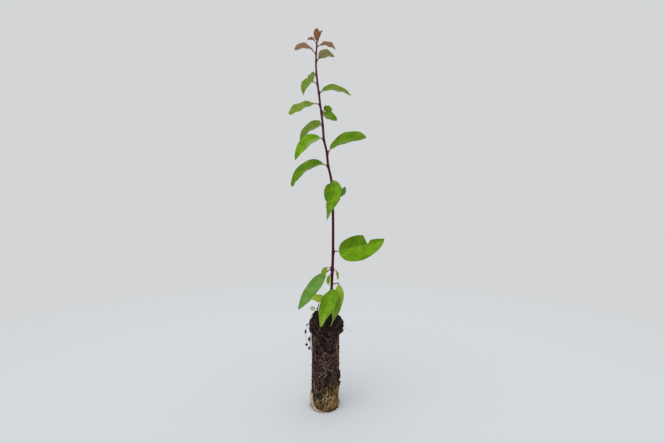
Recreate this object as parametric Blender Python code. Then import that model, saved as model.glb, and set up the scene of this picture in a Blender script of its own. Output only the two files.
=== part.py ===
"""Young blackthorn standing on its root ball: one stem, its leaves, two short twigs and the root ball.

The frame is in metres with +Z up. The origin is the centre of the root ball's flat underside, +X is to
the right of the plant and -Y is its front. The soil surface round the stem lies at SOIL_HEIGHT.
"""

from math import cos, exp, pi, radians, sin
from typing import NamedTuple, Optional

import bmesh
import bpy
from mathutils import Vector, noise

MM = 0.001

# Driving dimensions, in millimetres and degrees.
SOIL_HEIGHT = 100.0         # soil surface round the stem's foot
STEM_TIP_HEIGHT = 418.0     # where the stem ends among the youngest leaves
CLEARANCE = 0.33            # between pieces that touch
LEAF_THICKNESS = 0.6
PETIOLE_RADIUS = 0.45
TWIG_RADIUS = 0.65          # at its foot
TWIG_TIP_RADIUS = 0.45
TWIG_SAG = 0.4

BASE_RADIUS = 15.0          # root ball at its flat underside
WAIST_RADIUS = 15.4         # root ball at half height
CRUST_RADIUS = 18.7         # crumbly lip round the soil surface
CRUST_HEIGHT = 82.0         # underside of that lip
CRUST_DEPTH = 4.0           # height over which the wall runs out to the lip
WALL_LEAN = 0.9             # how far the wall leans to the right on its way up to the lip
CRUST_SHIFT = 1.7           # how far the lip stands to the right
MOUND_HEIGHT = 7.5          # heap of soil left of the stem
MOUND_SPREAD = 5.5
MOUND_PLACE = (-9.0, 3.0)
SOIL_RELIEF = 0.55
BARE_SPREAD = 4.0           # level soil round the stem's foot

LOW_TWIG_BUD = (139.0, -28.0)        # height on the stem and compass direction
LOW_TWIG_END = (15.0, -3.0, 141.0)
BASAL_TWIG_FOOT = (-9.3, 2.0)
BASAL_TWIG_END = (-6.5, 0.0, 117.0)

STEM_SIDES = 12
TWIG_SIDES = 8
BALL_SIDES = 36

# Course of the stem: (height, right, back). It leans left above its middle, with a slight kink at each bud.
STEM_COURSE = (
    (100, 6.0, 0.0), (136, 8.0, 1.0), (178, 9.5, 2.5), (240, 9.0, 2.5), (260, 7.2, 1.5), (276, 3.8, 0.5),
    (290, 2.3, 0.0), (306, -1.1, -0.5), (322, -2.3, -1.0), (354, -6.3, -0.5), (388, -10.0, 0.8),
    (418, -9.2, 2.0),
)
# Taper of the stem: (height, radius), with the root flare at the foot.
STEM_TAPER = (
    (100, 2.5), (102, 2.1), (107, 1.8), (136, 1.6), (207, 1.5), (300, 1.35), (370, 1.15), (405, 0.95),
    (418, 0.65),
)

# The stem's three lengths, from the foot up: (name, height at which each ends).
STEM_LENGTHS = (("stem_lower", 236.0), ("stem_middle", 314.0), ("stem_upper", STEM_TIP_HEIGHT))
STEM_SECTION = 6.5          # from one section of the stem to the next
ROOT_FLARE = (1.2, 2.6, 4.5, 7.5)    # heights of the closer sections above the soil

BRONZE = (0.24, 0.10, 0.055)
OLIVE = (0.20, 0.19, 0.05)
FRESH = (0.17, 0.28, 0.04)
MATURE = (0.10, 0.22, 0.015)
DULL = (0.13, 0.24, 0.07)
YELLOWED = (0.27, 0.36, 0.06)
PALE = (0.55, 0.55, 0.33)
STEM_COLOUR = (0.09, 0.030, 0.036)
TWIG_COLOUR = (0.10, 0.055, 0.035)
SOIL_COLOUR = (0.035, 0.020, 0.017)


class Notch(NamedTuple):
    """A bite out of one half of a blade. Side 1 is left of the midrib, looking towards the tip."""

    side: int
    place: float
    depth: float
    breadth: float              # of its near side; its far side is twice as gentle
    beyond: float               # share of the half's width that is left beyond it


class Leaf(NamedTuple):
    """One leaf: where it leaves the stem, its sizes, and how its midrib runs and its blade lies."""

    name: str
    at: float                   # height of its bud on the stem
    way: float                  # compass direction it leaves in: 0 right, 90 back, 180 left, 270 front
    stalk: float
    length: float
    width: float
    rise: float                 # angle above level at the bud
    bend: float                 # how much of that angle it loses on the way to the tip
    power: float = 1.0          # below 1 it bends early, above 1 late
    swing: float = 0.0          # change of compass direction on the way to the tip
    roll: float = 0.0
    fold: float = 10.0          # how far each half is raised above flat
    cup: float = 10.0           # how far its margin turns down again
    belly: float = 0.5          # where the blade is widest
    full: float = 1.75          # below 1.75 the blade's ends are blunter
    notch: Optional[Notch] = None
    root: Optional[tuple] = None
    colour: tuple = MATURE


LEAVES = (
    Leaf("tip_leaf_tall", 418, 95, 1, 16, 7.5, 87, -5, fold=15, belly=0.6, colour=BRONZE),
    Leaf("tip_leaf_slim", 417, -40, 1, 14, 3, 72, 5, swing=60, roll=50, fold=25, belly=0.55, colour=BRONZE),
    Leaf("tip_leaf_side", 417, 190, 2, 10, 6, 75, 125, fold=25, colour=BRONZE),
    Leaf("leaf_01_right", 413, 15, 2, 22, 10, 48, 100, fold=15, colour=BRONZE),
    Leaf("leaf_02_left", 405, 165, 3, 27, 13, 65, 100, fold=20, colour=BRONZE),
    Leaf("leaf_03_right", 396, -25, 2, 25, 16, 60, 125, roll=-5, colour=OLIVE),
    Leaf("leaf_04_left", 380.5, 149, 1, 13, 21, -18, 20, roll=-60, belly=0.45, full=0.8, colour=FRESH),
    Leaf("leaf_05_left", 369, 226, 1, 32, 10, 28, 128, power=0.8, roll=-40, fold=15, belly=0.42, full=1.8,
         colour=FRESH),
    Leaf("leaf_06_right", 359, 25, 3, 40, 15, 60, 84, power=0.5, roll=50, fold=25, colour=FRESH),
    Leaf("leaf_07_left", 345, 198, 4, 35, 11.5, 12, 64, power=0.8, roll=-55, belly=0.58, full=1.3,
         colour=FRESH),
    Leaf("leaf_08_right", 336, -20, 1, 20, 11, -28, 10, roll=55, belly=0.4, full=1.4, colour=MATURE),
    Leaf("leaf_09_right", 337, 25, 3, 10, 11, 40, 30, roll=60, full=1.1, colour=MATURE),
    Leaf("leaf_10_left", 322, 158, 1, 34, 14.5, 6, 84, power=1.1, roll=-64, fold=25, belly=0.34, full=0.9,
         colour=FRESH),
    Leaf("leaf_11_left", 305, 219, 4, 47, 13, 48, 117, power=0.38, roll=-50, fold=20, belly=0.36, full=1.3,
         colour=MATURE),
    Leaf("leaf_12_right", 290, -20, 4, 46, 19, 73, 90, power=0.6, roll=55, fold=15, belly=0.5, full=1.2),
    Leaf("leaf_13_left", 275, 153, 5, 54, 22, 37, 104, power=0.7, roll=-55, fold=20, belly=0.62, full=1.1),
    Leaf("leaf_14_front", 258.5, 304, 1, 57, 17, -2, 75, power=0.4, swing=-120, belly=0.68, full=0.9),
    Leaf("leaf_15_front", 255.5, 278, 1, 24, 19, -68, 14, belly=0.55, full=0.65),
    Leaf("leaf_16_right", 241, 10, 5.5, 13, 8, -5, -90, roll=60, belly=0.32, full=1.3, colour=DULL),
    Leaf("leaf_17_right", 176, -10, 5, 54, 31, 9, -18, power=2.0, roll=65, fold=8, belly=0.38, full=1.25,
         notch=Notch(1, 0.63, 0.8, 0.027, 0.5)),
    Leaf("leaf_18_left", 157, 205, 4, 13, 6.5, 50, 165, power=0.7, roll=-40, colour=YELLOWED),
    Leaf("leaf_19_left", 150.5, 215, 1.5, 12, 4.5, -25, 75, power=0.5, roll=-40, colour=YELLOWED),
    Leaf("leaf_20_left", 156, 182, 8, 52, 16, -20, 39, power=0.25, roll=-55, belly=0.42, full=1.3,
         colour=DULL),
    Leaf("leaf_21_right", 155.5, 28, 2.5, 12, 4, -5, 95, power=0.5, roll=70, colour=YELLOWED),
    Leaf("leaf_22_front", 0, 285, 1, 48, 14, -56, 14, swing=-90, roll=16, belly=0.48, full=1.4,
         root=(15.6, -3.0, 140.0), colour=FRESH),
    Leaf("leaf_23_front", 134, 275, 2, 50, 21.5, -10, 68, swing=-64, roll=10, belly=0.52, full=1.3),
    Leaf("leaf_24_left", 122, 209, 4, 19.5, 11, 14, 14, roll=-40, colour=YELLOWED),
    Leaf("leaf_25_basal", 0, 190, 1, 6.5, 5.5, 0, 0, roll=-60, root=(-9.8, 1.6, 110.5), colour=PALE),
)

BLADE_STATION_LENGTH = 4.0  # one section of the blade to each 4 mm, and more where there is a notch
NOTCH_STATIONS = 32
PETIOLE_STATIONS = 4


def between(table, height):
    """The value at a height in a table of (height, value) pairs, level beyond its ends."""
    low = table[0]
    for high in table[1:]:
        if height <= high[0]:
            share = max(height - low[0], 0) / (high[0] - low[0])
            return low[1] + (high[1] - low[1]) * share
        low = high
    return low[1]


def stem_centre(height):
    """The stem's middle at a height: a smooth curve through the points of its course."""
    points = [Vector((right, back, up)) for up, right, back in STEM_COURSE]
    step = next((i for i in range(len(points) - 2) if height < points[i + 1].z), len(points) - 2)
    start, end = points[step], points[step + 1]
    before, after = points[max(step - 1, 0)], points[min(step + 2, len(points) - 1)]
    span = end.z - start.z
    share = min(max((height - start.z) / span, 0.0), 1.0)
    leaving = (end - before) * (span / (end.z - before.z))
    arriving = (after - start) * (span / (after.z - start.z))
    place = start * (2 * share**3 - 3 * share**2 + 1) + end * (3 * share**2 - 2 * share**3)
    place += leaving * (share**3 - 2 * share**2 + share) + arriving * (share**3 - share**2)
    return Vector((place.x, place.y, height))


def outward(way):
    """Level unit vector in a compass direction given in degrees."""
    return Vector((cos(radians(way)), sin(radians(way)), 0.0))


def axes_of(leaf, share):
    """Along, across and upper-face directions of a leaf, at a share of the way from bud to tip."""
    lift = radians(leaf.rise - leaf.bend * share**leaf.power)
    heading = radians(leaf.way + leaf.swing * share)
    roll = radians(leaf.roll)
    along = Vector((cos(lift) * cos(heading), cos(lift) * sin(heading), sin(lift)))
    level = Vector((-sin(heading), cos(heading), 0.0))
    upper = along.cross(level)
    return along, level * cos(roll) + upper * sin(roll), upper * cos(roll) - level * sin(roll)


def half_width(leaf, side, place):
    """Half the blade's width on one side, at a share of the blade's length."""
    if not 0.0 < place < 1.0:
        return 0.0
    rising, falling = leaf.full * leaf.belly, leaf.full * (1 - leaf.belly)
    shape = (place / leaf.belly) ** rising * ((1 - place) / (1 - leaf.belly)) ** falling
    notch = leaf.notch
    if notch and notch.side == side:
        gap = (place - notch.place) / notch.breadth
        passed = min(max(0.5 + gap, 0.0), 1.0)
        shape *= 1 - notch.depth * exp(-((gap if gap < 0 else gap / 2) ** 2))
        shape *= 1 - (1 - notch.beyond) * passed**2 * (3 - 2 * passed)
    return leaf.width / 2 * shape


def leaf_section(leaf, centre, across, upper, place):
    """The closed ring of points round a leaf at one station, round on the stalk and thin on the blade."""
    edge_share = (1.0, 0.7, 0.0, 0.7, 1.0, 0.7, 0.0, 0.7)
    swell_share = (0.0, 0.8, 1.0, 0.8, 0.0, -0.8, -1.0, -0.8)
    sides = (1, 1, 1, -1, -1, -1, -1, 1)
    widest = max(half_width(leaf, 1, place), half_width(leaf, -1, place))
    spread = min(widest / (3 * PETIOLE_RADIUS), 1.0)
    thick = PETIOLE_RADIUS + (LEAF_THICKNESS / 2 - PETIOLE_RADIUS) * spread
    if place > 0.9:
        thick *= max((1 - place) / 0.1, 0.25)
    ring = []
    for edge, swell, side in zip(edge_share, swell_share, sides):
        reach = max(half_width(leaf, side, place), PETIOLE_RADIUS if place < 0.5 else 0.12) * edge
        tilt = radians(leaf.fold - leaf.cup * edge) * spread
        out = across * side * cos(tilt) + upper * sin(tilt)
        ring.append(centre + out * reach + upper * thick * swell)
    return ring


def leaf_root(leaf):
    """Where a leaf's stalk starts: clear of the stem by the clearance, or at its own root point."""
    if leaf.root:
        return Vector(leaf.root)
    reach = between(STEM_TAPER, leaf.at) + CLEARANCE
    return stem_centre(leaf.at) + outward(leaf.way) * reach


def leaf_rings(leaf):
    """Every section of a leaf from its root to its tip, walked along the midrib in short steps."""
    count = NOTCH_STATIONS if leaf.notch else max(round(leaf.length / BLADE_STATION_LENGTH), 6)
    stations = [leaf.stalk * i / PETIOLE_STATIONS for i in range(1, PETIOLE_STATIONS)]
    stations += [leaf.stalk + leaf.length * i / count for i in range(count + 1)]
    total = leaf.stalk + leaf.length
    root, walked = leaf_root(leaf), 0.0
    level = Vector((-sin(radians(leaf.way)), cos(radians(leaf.way)), 0.0))
    rings = [leaf_section(leaf, root, level, Vector((0, 0, 1)), 0.0)]
    centre = root + outward(leaf.way) * PETIOLE_RADIUS * abs(sin(radians(leaf.rise)))
    substeps = 4
    for station in stations:
        step = (station - walked) / substeps
        for i in range(substeps):
            centre = centre + axes_of(leaf, (walked + step * (i + 0.5)) / total)[0] * step
        walked = station
        along, across, upper = axes_of(leaf, walked / total)
        rings.append(leaf_section(leaf, centre, across, upper, (walked - leaf.stalk) / leaf.length))
    return rings


def round_ring(centre, radius, sides):
    """A level round ring of points."""
    return [centre + outward(360 * i / sides) * radius for i in range(sides)]


def stem_rings(bottom, top):
    """Sections of one length of the stem, closer together at the root flare."""
    flare = [SOIL_HEIGHT + height for height in ROOT_FLARE if bottom < SOIL_HEIGHT + height]
    start = flare[-1] if flare else bottom
    count = round((top - start) / STEM_SECTION)
    heights = [bottom, *flare] + [start + (top - start) * i / count for i in range(1, count + 1)]
    return [round_ring(stem_centre(h), between(STEM_TAPER, h), STEM_SIDES) for h in heights]


def twig_rings(start, end, sag):
    """Sections of a short twig between two points, bowed downwards by sag."""
    start, end = Vector(start), Vector(end)
    along = (end - start).normalized()
    across = along.cross(Vector((0, 0, 1))) if abs(along.z) < 0.9 else along.cross(Vector((0, 1, 0)))
    across.normalize()
    other = along.cross(across)
    rings = []
    steps = 6
    for i in range(steps + 1):
        share = i / steps
        middle = start.lerp(end, share) - Vector((0, 0, 4 * sag * share * (1 - share)))
        radius = TWIG_RADIUS + (TWIG_TIP_RADIUS - TWIG_RADIUS) * share
        rings.append([
            middle + (across * cos(2 * pi * k / TWIG_SIDES) + other * sin(2 * pi * k / TWIG_SIDES)) * radius
            for k in range(TWIG_SIDES)
        ])
    return rings


def soil_lump(place, scale, seed):
    """Smooth seeded relief between -1 and 1 at a point of the root ball."""
    return noise.noise(place / scale + Vector((seed, 2 * seed, 3 * seed)))


def soil_top(right, back):
    """Height of the soil surface: level round the stem, heaped over the mound, crumbly elsewhere."""
    foot = stem_centre(SOIL_HEIGHT)
    away = Vector((right - foot.x, back - foot.y)).length
    rough = min(max(away / BARE_SPREAD - 1.0, 0.0), 1.0)
    heap = Vector((right - MOUND_PLACE[0], back - MOUND_PLACE[1])).length
    lift = MOUND_HEIGHT * exp(-((heap / MOUND_SPREAD) ** 2))
    lump = SOIL_RELIEF * soil_lump(Vector((right, back, 0.0)), 5.0, 4.0)
    return SOIL_HEIGHT + rough * (lift + lump)


def ball_wall_ring(height):
    """A level ring round the root ball's side at a height, with its lumps and the lip of the crust."""
    lip = CRUST_HEIGHT + CRUST_DEPTH
    radius = between((
        (0, BASE_RADIUS), (1.5, BASE_RADIUS + 0.4), (45, WAIST_RADIUS), (CRUST_HEIGHT, WAIST_RADIUS),
        (lip, CRUST_RADIUS), (SOIL_HEIGHT - 3, CRUST_RADIUS), (SOIL_HEIGHT - 0.6, CRUST_RADIUS - 1.4),
    ), height)
    shift = between(((0, 0), (45, WALL_LEAN), (CRUST_HEIGHT, WALL_LEAN), (lip, CRUST_SHIFT)), height)
    rough = SOIL_RELIEF * min(height / 3.0, 1.0)
    ring = []
    for point in round_ring(Vector((0, 0, height)), radius, BALL_SIDES):
        way = Vector((point.x, point.y, 0)).normalized()
        lump = soil_lump(point, 9.0, 1.0) + 0.7 * soil_lump(point, 3.5, 2.0)
        ring.append(point + way * rough * lump + Vector((shift, 0, 0)))
    return ring


def ball_rings():
    """Rings of the root ball: up its side from the flat underside, then in over the soil surface."""
    heights = [0, 1.5] + [8 * i for i in range(1, 11)]
    heights += [CRUST_HEIGHT, CRUST_HEIGHT + CRUST_DEPTH, 89, 93, SOIL_HEIGHT - 3, SOIL_HEIGHT - 1]
    rings = [ball_wall_ring(h) for h in heights]
    rim = rings[-1]
    foot = stem_centre(SOIL_HEIGHT)
    for share in (0.86, 0.72, 0.60, 0.48, 0.36, 0.24, 0.12):
        ring = []
        for point in rim:
            right = foot.x + (point.x - foot.x) * share
            back = foot.y + (point.y - foot.y) * share
            ring.append(Vector((right, back, soil_top(right, back))))
        rings.append(ring)
    return rings


def grow_ring(bm, ring, points):
    """Extrude a ring of edges once and set the new ring on the given points."""
    count = len(ring)
    edges = [bm.edges.get((ring[i], ring[(i + 1) % count])) for i in range(count)]
    made = bmesh.ops.extrude_edge_only(bm, edges=edges)["geom"]
    fresh = {item for item in made if isinstance(item, bmesh.types.BMVert)}
    grown = []
    for old, point in zip(ring, points):
        new = next(e.other_vert(old) for e in old.link_edges if e.other_vert(old) in fresh)
        new.co = point * MM
        grown.append(new)
    return grown


def lofted(name, rings, colour, roughness):
    """A closed solid through a list of rings, given in millimetres, as an object with its own material."""
    bm = bmesh.new()
    ring = bmesh.ops.create_circle(bm, cap_ends=True, segments=len(rings[0]), radius=1.0)["verts"]
    for vert, point in zip(ring, rings[0]):
        vert.co = point * MM
    for points in rings[1:]:
        ring = grow_ring(bm, ring, points)
    bmesh.ops.contextual_create(bm, geom=ring)
    bmesh.ops.recalc_face_normals(bm, faces=bm.faces)
    mesh = bpy.data.meshes.new(name)
    bm.to_mesh(mesh)
    bm.free()
    mesh.shade_smooth()
    mesh.set_sharp_from_angle(angle=radians(50))
    mesh.materials.append(finish(name, colour, roughness))
    piece = bpy.data.objects.new(name, mesh)
    bpy.context.scene.collection.objects.link(piece)
    return piece


def finish(name, colour, roughness):
    """A matt material of one colour."""
    material = bpy.data.materials.new(name)
    material.use_nodes = True
    shader = material.node_tree.nodes["Principled BSDF"]
    shader.inputs["Base Color"].default_value = (*colour, 1.0)
    shader.inputs["Roughness"].default_value = roughness
    shader.inputs["Metallic"].default_value = 0.0
    return material


def make_plant():
    """Every piece of the plant."""
    lofted("root_ball", ball_rings(), SOIL_COLOUR, 0.95)
    bottom = SOIL_HEIGHT + CLEARANCE
    for name, top in STEM_LENGTHS:
        lofted(name, stem_rings(bottom, top), STEM_COLOUR, 0.5)
        bottom = top + CLEARANCE
    height, way = LOW_TWIG_BUD
    bud = stem_centre(height) + outward(way) * (between(STEM_TAPER, height) + 2 * CLEARANCE)
    lofted("low_twig", twig_rings(bud, LOW_TWIG_END, TWIG_SAG), TWIG_COLOUR, 0.7)
    foot = (*BASAL_TWIG_FOOT, soil_top(*BASAL_TWIG_FOOT) + 2 * CLEARANCE)
    lofted("basal_twig", twig_rings(foot, BASAL_TWIG_END, -TWIG_SAG), TWIG_COLOUR, 0.7)
    for leaf in LEAVES:
        lofted(leaf.name, leaf_rings(leaf), leaf.colour, 0.6)


for item in list(bpy.data.objects):
    bpy.data.objects.remove(item)
make_plant()
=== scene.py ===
"""Looks of a young blackthorn that stands on its root ball.

The frame is in metres with +Z up, the origin at the centre of the root ball's flat underside, +X to the
right of the plant and -Y its front. Sizes below are in millimetres and degrees until a vertex is placed.
"""

import logging
from dataclasses import dataclass, field, replace
from enum import Enum
from math import acos, atan2, cos, degrees, exp, pi, radians, sin, sqrt
from random import Random
from typing import Callable, Dict, List, Optional, Sequence, Tuple

import bmesh
import bpy
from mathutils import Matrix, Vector, noise


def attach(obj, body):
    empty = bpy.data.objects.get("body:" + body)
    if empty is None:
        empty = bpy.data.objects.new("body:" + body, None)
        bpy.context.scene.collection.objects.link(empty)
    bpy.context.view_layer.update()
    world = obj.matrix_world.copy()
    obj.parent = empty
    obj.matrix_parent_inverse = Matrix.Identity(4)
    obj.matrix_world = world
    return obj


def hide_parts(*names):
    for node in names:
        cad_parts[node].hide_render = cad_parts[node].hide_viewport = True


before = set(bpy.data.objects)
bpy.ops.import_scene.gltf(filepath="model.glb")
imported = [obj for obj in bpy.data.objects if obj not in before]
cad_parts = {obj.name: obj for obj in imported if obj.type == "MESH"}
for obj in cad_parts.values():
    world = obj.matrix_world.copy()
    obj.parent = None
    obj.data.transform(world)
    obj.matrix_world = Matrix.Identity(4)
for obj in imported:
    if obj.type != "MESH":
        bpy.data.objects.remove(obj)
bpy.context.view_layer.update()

logging.basicConfig(level=logging.INFO, format="%(message)s")
log = logging.getLogger("blackthorn")

MM = 0.001
WELD = 1e-7  # metres within which two vertices become one
SEAM = 0.0001  # share of a turn within which a vertex lies on a tube's seam
Vert = bmesh.types.BMVert
Socket = bpy.types.NodeSocket
Colour = Tuple[float, float, float]
Span = Tuple[float, float]
Place = Callable[[float, float], Vector]
BLACK: Colour = (0.0, 0.0, 0.0)
UP = Vector((0.0, 0.0, 1.0))

# Driving dimensions, the same as the solids'.
SOIL_HEIGHT = 100.0
STEM_TIP_HEIGHT = 418.0
MIDDLE_HEIGHT = 260.0
CLEARANCE = 0.33
PETIOLE_RADIUS = 0.45


# ---- Small tools ----


def clamp(value: float, low: float = 0.0, high: float = 1.0) -> float:
    """The value kept between two limits."""
    return min(max(value, low), high)


def smooth(value: float) -> float:
    """A share from 0 to 1 eased at both ends."""
    share = clamp(value)
    return share * share * (3 - 2 * share)


def outward(way: float) -> Vector:
    """Level unit vector in a compass direction: 0 right, 90 back, 180 left, 270 front."""
    return Vector((cos(radians(way)), sin(radians(way)), 0.0))


def spoke(first: Vector, second: Vector, turn: float) -> Vector:
    """The direction at a share of a turn from one vector towards another."""
    return first * cos(2 * pi * turn) + second * sin(2 * pi * turn)


def between(table: Sequence[Span], height: float) -> float:
    """Read a table of (height, value) pairs at a height, level beyond its ends.

    Args:
        table: Pairs in rising height.
        height: Where to read it.

    Returns:
        The value on the straight line between the two pairs next to that height.
    """
    low = table[0]
    for high in table[1:]:
        if height <= high[0]:
            share = clamp((height - low[0]) / (high[0] - low[0]))
            return low[1] + (high[1] - low[1]) * share
        low = high
    return low[1]


def lump(place: Vector, scale: float, seed: float) -> float:
    """Smooth seeded relief between -1 and 1 at a place, with lumps of about that scale."""
    return noise.noise(place / scale + Vector((seed, 2 * seed, 3 * seed)))


def hermite(start: Vector, end: Vector, leaving: Vector, arriving: Vector, s: float) -> Vector:
    """Read a smooth curve between two points.

    Args:
        start: Where it starts.
        end: Where it ends.
        leaving: Its direction and speed at the start.
        arriving: Its direction and speed at the end.
        s: Share of the way, from 0 to 1.

    Returns:
        The point at that share.
    """
    return (
        start * (2 * s**3 - 3 * s**2 + 1) + end * (3 * s**2 - 2 * s**3)
        + leaving * (s**3 - 2 * s**2 + s) + arriving * (s**3 - s**2)
    )


def curve_through(points: Sequence[Vector], step: float) -> List[Vector]:
    """Run a smooth curve through some points.

    Args:
        points: Two points or more, in order.
        step: Rough distance between the points returned.

    Returns:
        Points along the curve, the two ends included.
    """
    ends = [points[0] * 2 - points[1], *points, points[-1] * 2 - points[-2]]
    path = [points[0].copy()]
    for before, start, end, after in zip(ends, ends[1:], ends[2:], ends[3:]):
        leaving, arriving = (end - before) / 2, (after - start) / 2
        count = max(round((end - start).length / step), 2)
        path += [hermite(start, end, leaving, arriving, i / count) for i in range(1, count + 1)]
    return path


@dataclass
class Strand:
    """One root or hair as a thin round tube, with its radius at each end."""

    points: List[Vector]
    thick: float
    thin: float


class Mould:
    """A bmesh that one piece is modelled in, with the marks its material reads off its surface."""

    def __init__(self, *marks: str) -> None:
        """Start an empty mould, with marks that each hold a number at every vertex."""
        self.bm = bmesh.new()
        self.marks = {name: self.bm.verts.layers.float.new(name) for name in marks}

    def mark(self, vert: Vert, **values: float) -> None:
        """Set some marks on a vertex."""
        for name, value in values.items():
            vert[self.marks[name]] = value

    def grid(self, across: int, along: int) -> List[Tuple[Vert, float, float]]:
        """Lay a flat grid.

        Args:
            across: Faces in its first direction.
            along: Faces in its second direction.

        Returns:
            Each vertex with its two shares of the grid, from 0 to 1.
        """
        made = bmesh.ops.create_grid(self.bm, x_segments=across, y_segments=along, size=0.5)
        return [(v, v.co.x + 0.5, v.co.y + 0.5) for v in made["verts"]]

    def roll(self, around: int, along: int, place: Place) -> List[Vert]:
        """Roll a grid into a tube and close its ends.

        Args:
            around: Faces round the tube.
            along: Faces along it.
            place: Gives the point in millimetres for a share round and a share along.

        Returns:
            The tube's vertices.
        """
        cells = self.grid(around, along)
        for vert, turn, share in cells:
            vert.co = place(0.0 if turn > 1 - SEAM else turn, share) * MM
        seam = [vert for vert, turn, _ in cells if not SEAM <= turn <= 1 - SEAM]
        bmesh.ops.remove_doubles(self.bm, verts=seam, dist=WELD)
        verts = [vert for vert, _, _ in cells if vert.is_valid]
        rims = {edge for vert in verts for edge in vert.link_edges if edge.is_boundary}
        bmesh.ops.holes_fill(self.bm, edges=list(rims), sides=0)
        return verts

    def lump(self, size: float, rough: float, draw: Random, detail: int = 1) -> List[Vert]:
        """Make one crumb round the origin.

        Args:
            size: Its radius in millimetres.
            rough: How far its corners stray, as a share of the radius.
            draw: Source of its irregularity.
            detail: Subdivisions of the ball it is cut from.

        Returns:
            The crumb's vertices.
        """
        made = bmesh.ops.create_icosphere(self.bm, subdivisions=detail, radius=size * MM)["verts"]
        for vert in made:
            vert.co *= 1 + rough * draw.uniform(-1, 1)
        return made

    def tubes(self, strands: Sequence[Strand], sides: int) -> None:
        """Add many thin tubes.

        Args:
            strands: The tubes, in millimetres.
            sides: Sides of each tube.
        """
        curve = bpy.data.curves.new("strands", "CURVE")
        curve.dimensions = "3D"
        curve.bevel_depth = MM
        curve.bevel_resolution = max(sides // 2 - 2, 0)
        curve.use_fill_caps = True
        for strand in strands:
            spline = curve.splines.new("POLY")
            last = len(strand.points) - 1
            spline.points.add(last)
            for i, point in enumerate(strand.points):
                spline.points[i].co = (*(point * MM), 1.0)
                spline.points[i].radius = strand.thick + (strand.thin - strand.thick) * i / last
        guide = bpy.data.objects.new("strands", curve)
        bpy.context.scene.collection.objects.link(guide)
        view = bpy.context.evaluated_depsgraph_get()
        mesh = bpy.data.meshes.new_from_object(guide.evaluated_get(view))
        self.bm.from_mesh(mesh)
        bpy.data.objects.remove(guide)
        bpy.data.curves.remove(curve)
        bpy.data.meshes.remove(mesh)
        bmesh.ops.remove_doubles(self.bm, verts=self.bm.verts[:], dist=WELD)

    def finish(self, name: str, material: bpy.types.Material, slot: str, sharp: float,
               nodes: Sequence[str] = ()) -> None:
        """Turn the mould into a finished piece that rides with the plant.

        Args:
            name: The piece's name.
            material: Its finish.
            slot: The record's material slot it belongs to; not used.
            sharp: Edges steeper than this many degrees stay crisp.
            nodes: The solids it stands for.
        """
        bmesh.ops.recalc_face_normals(self.bm, faces=self.bm.faces[:])
        mesh = bpy.data.meshes.new(name)
        self.bm.to_mesh(mesh)
        self.bm.free()
        mesh.materials.append(material)
        mesh.shade_smooth()
        mesh.set_sharp_from_angle(angle=radians(sharp))
        piece = bpy.data.objects.new(name, mesh)
        bpy.context.scene.collection.objects.link(piece)
        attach(piece, "root")
        if nodes:
            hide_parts(*nodes)
        log.info("%-18s %6d faces", name, len(mesh.polygons))


# ---- Finishes ----


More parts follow.
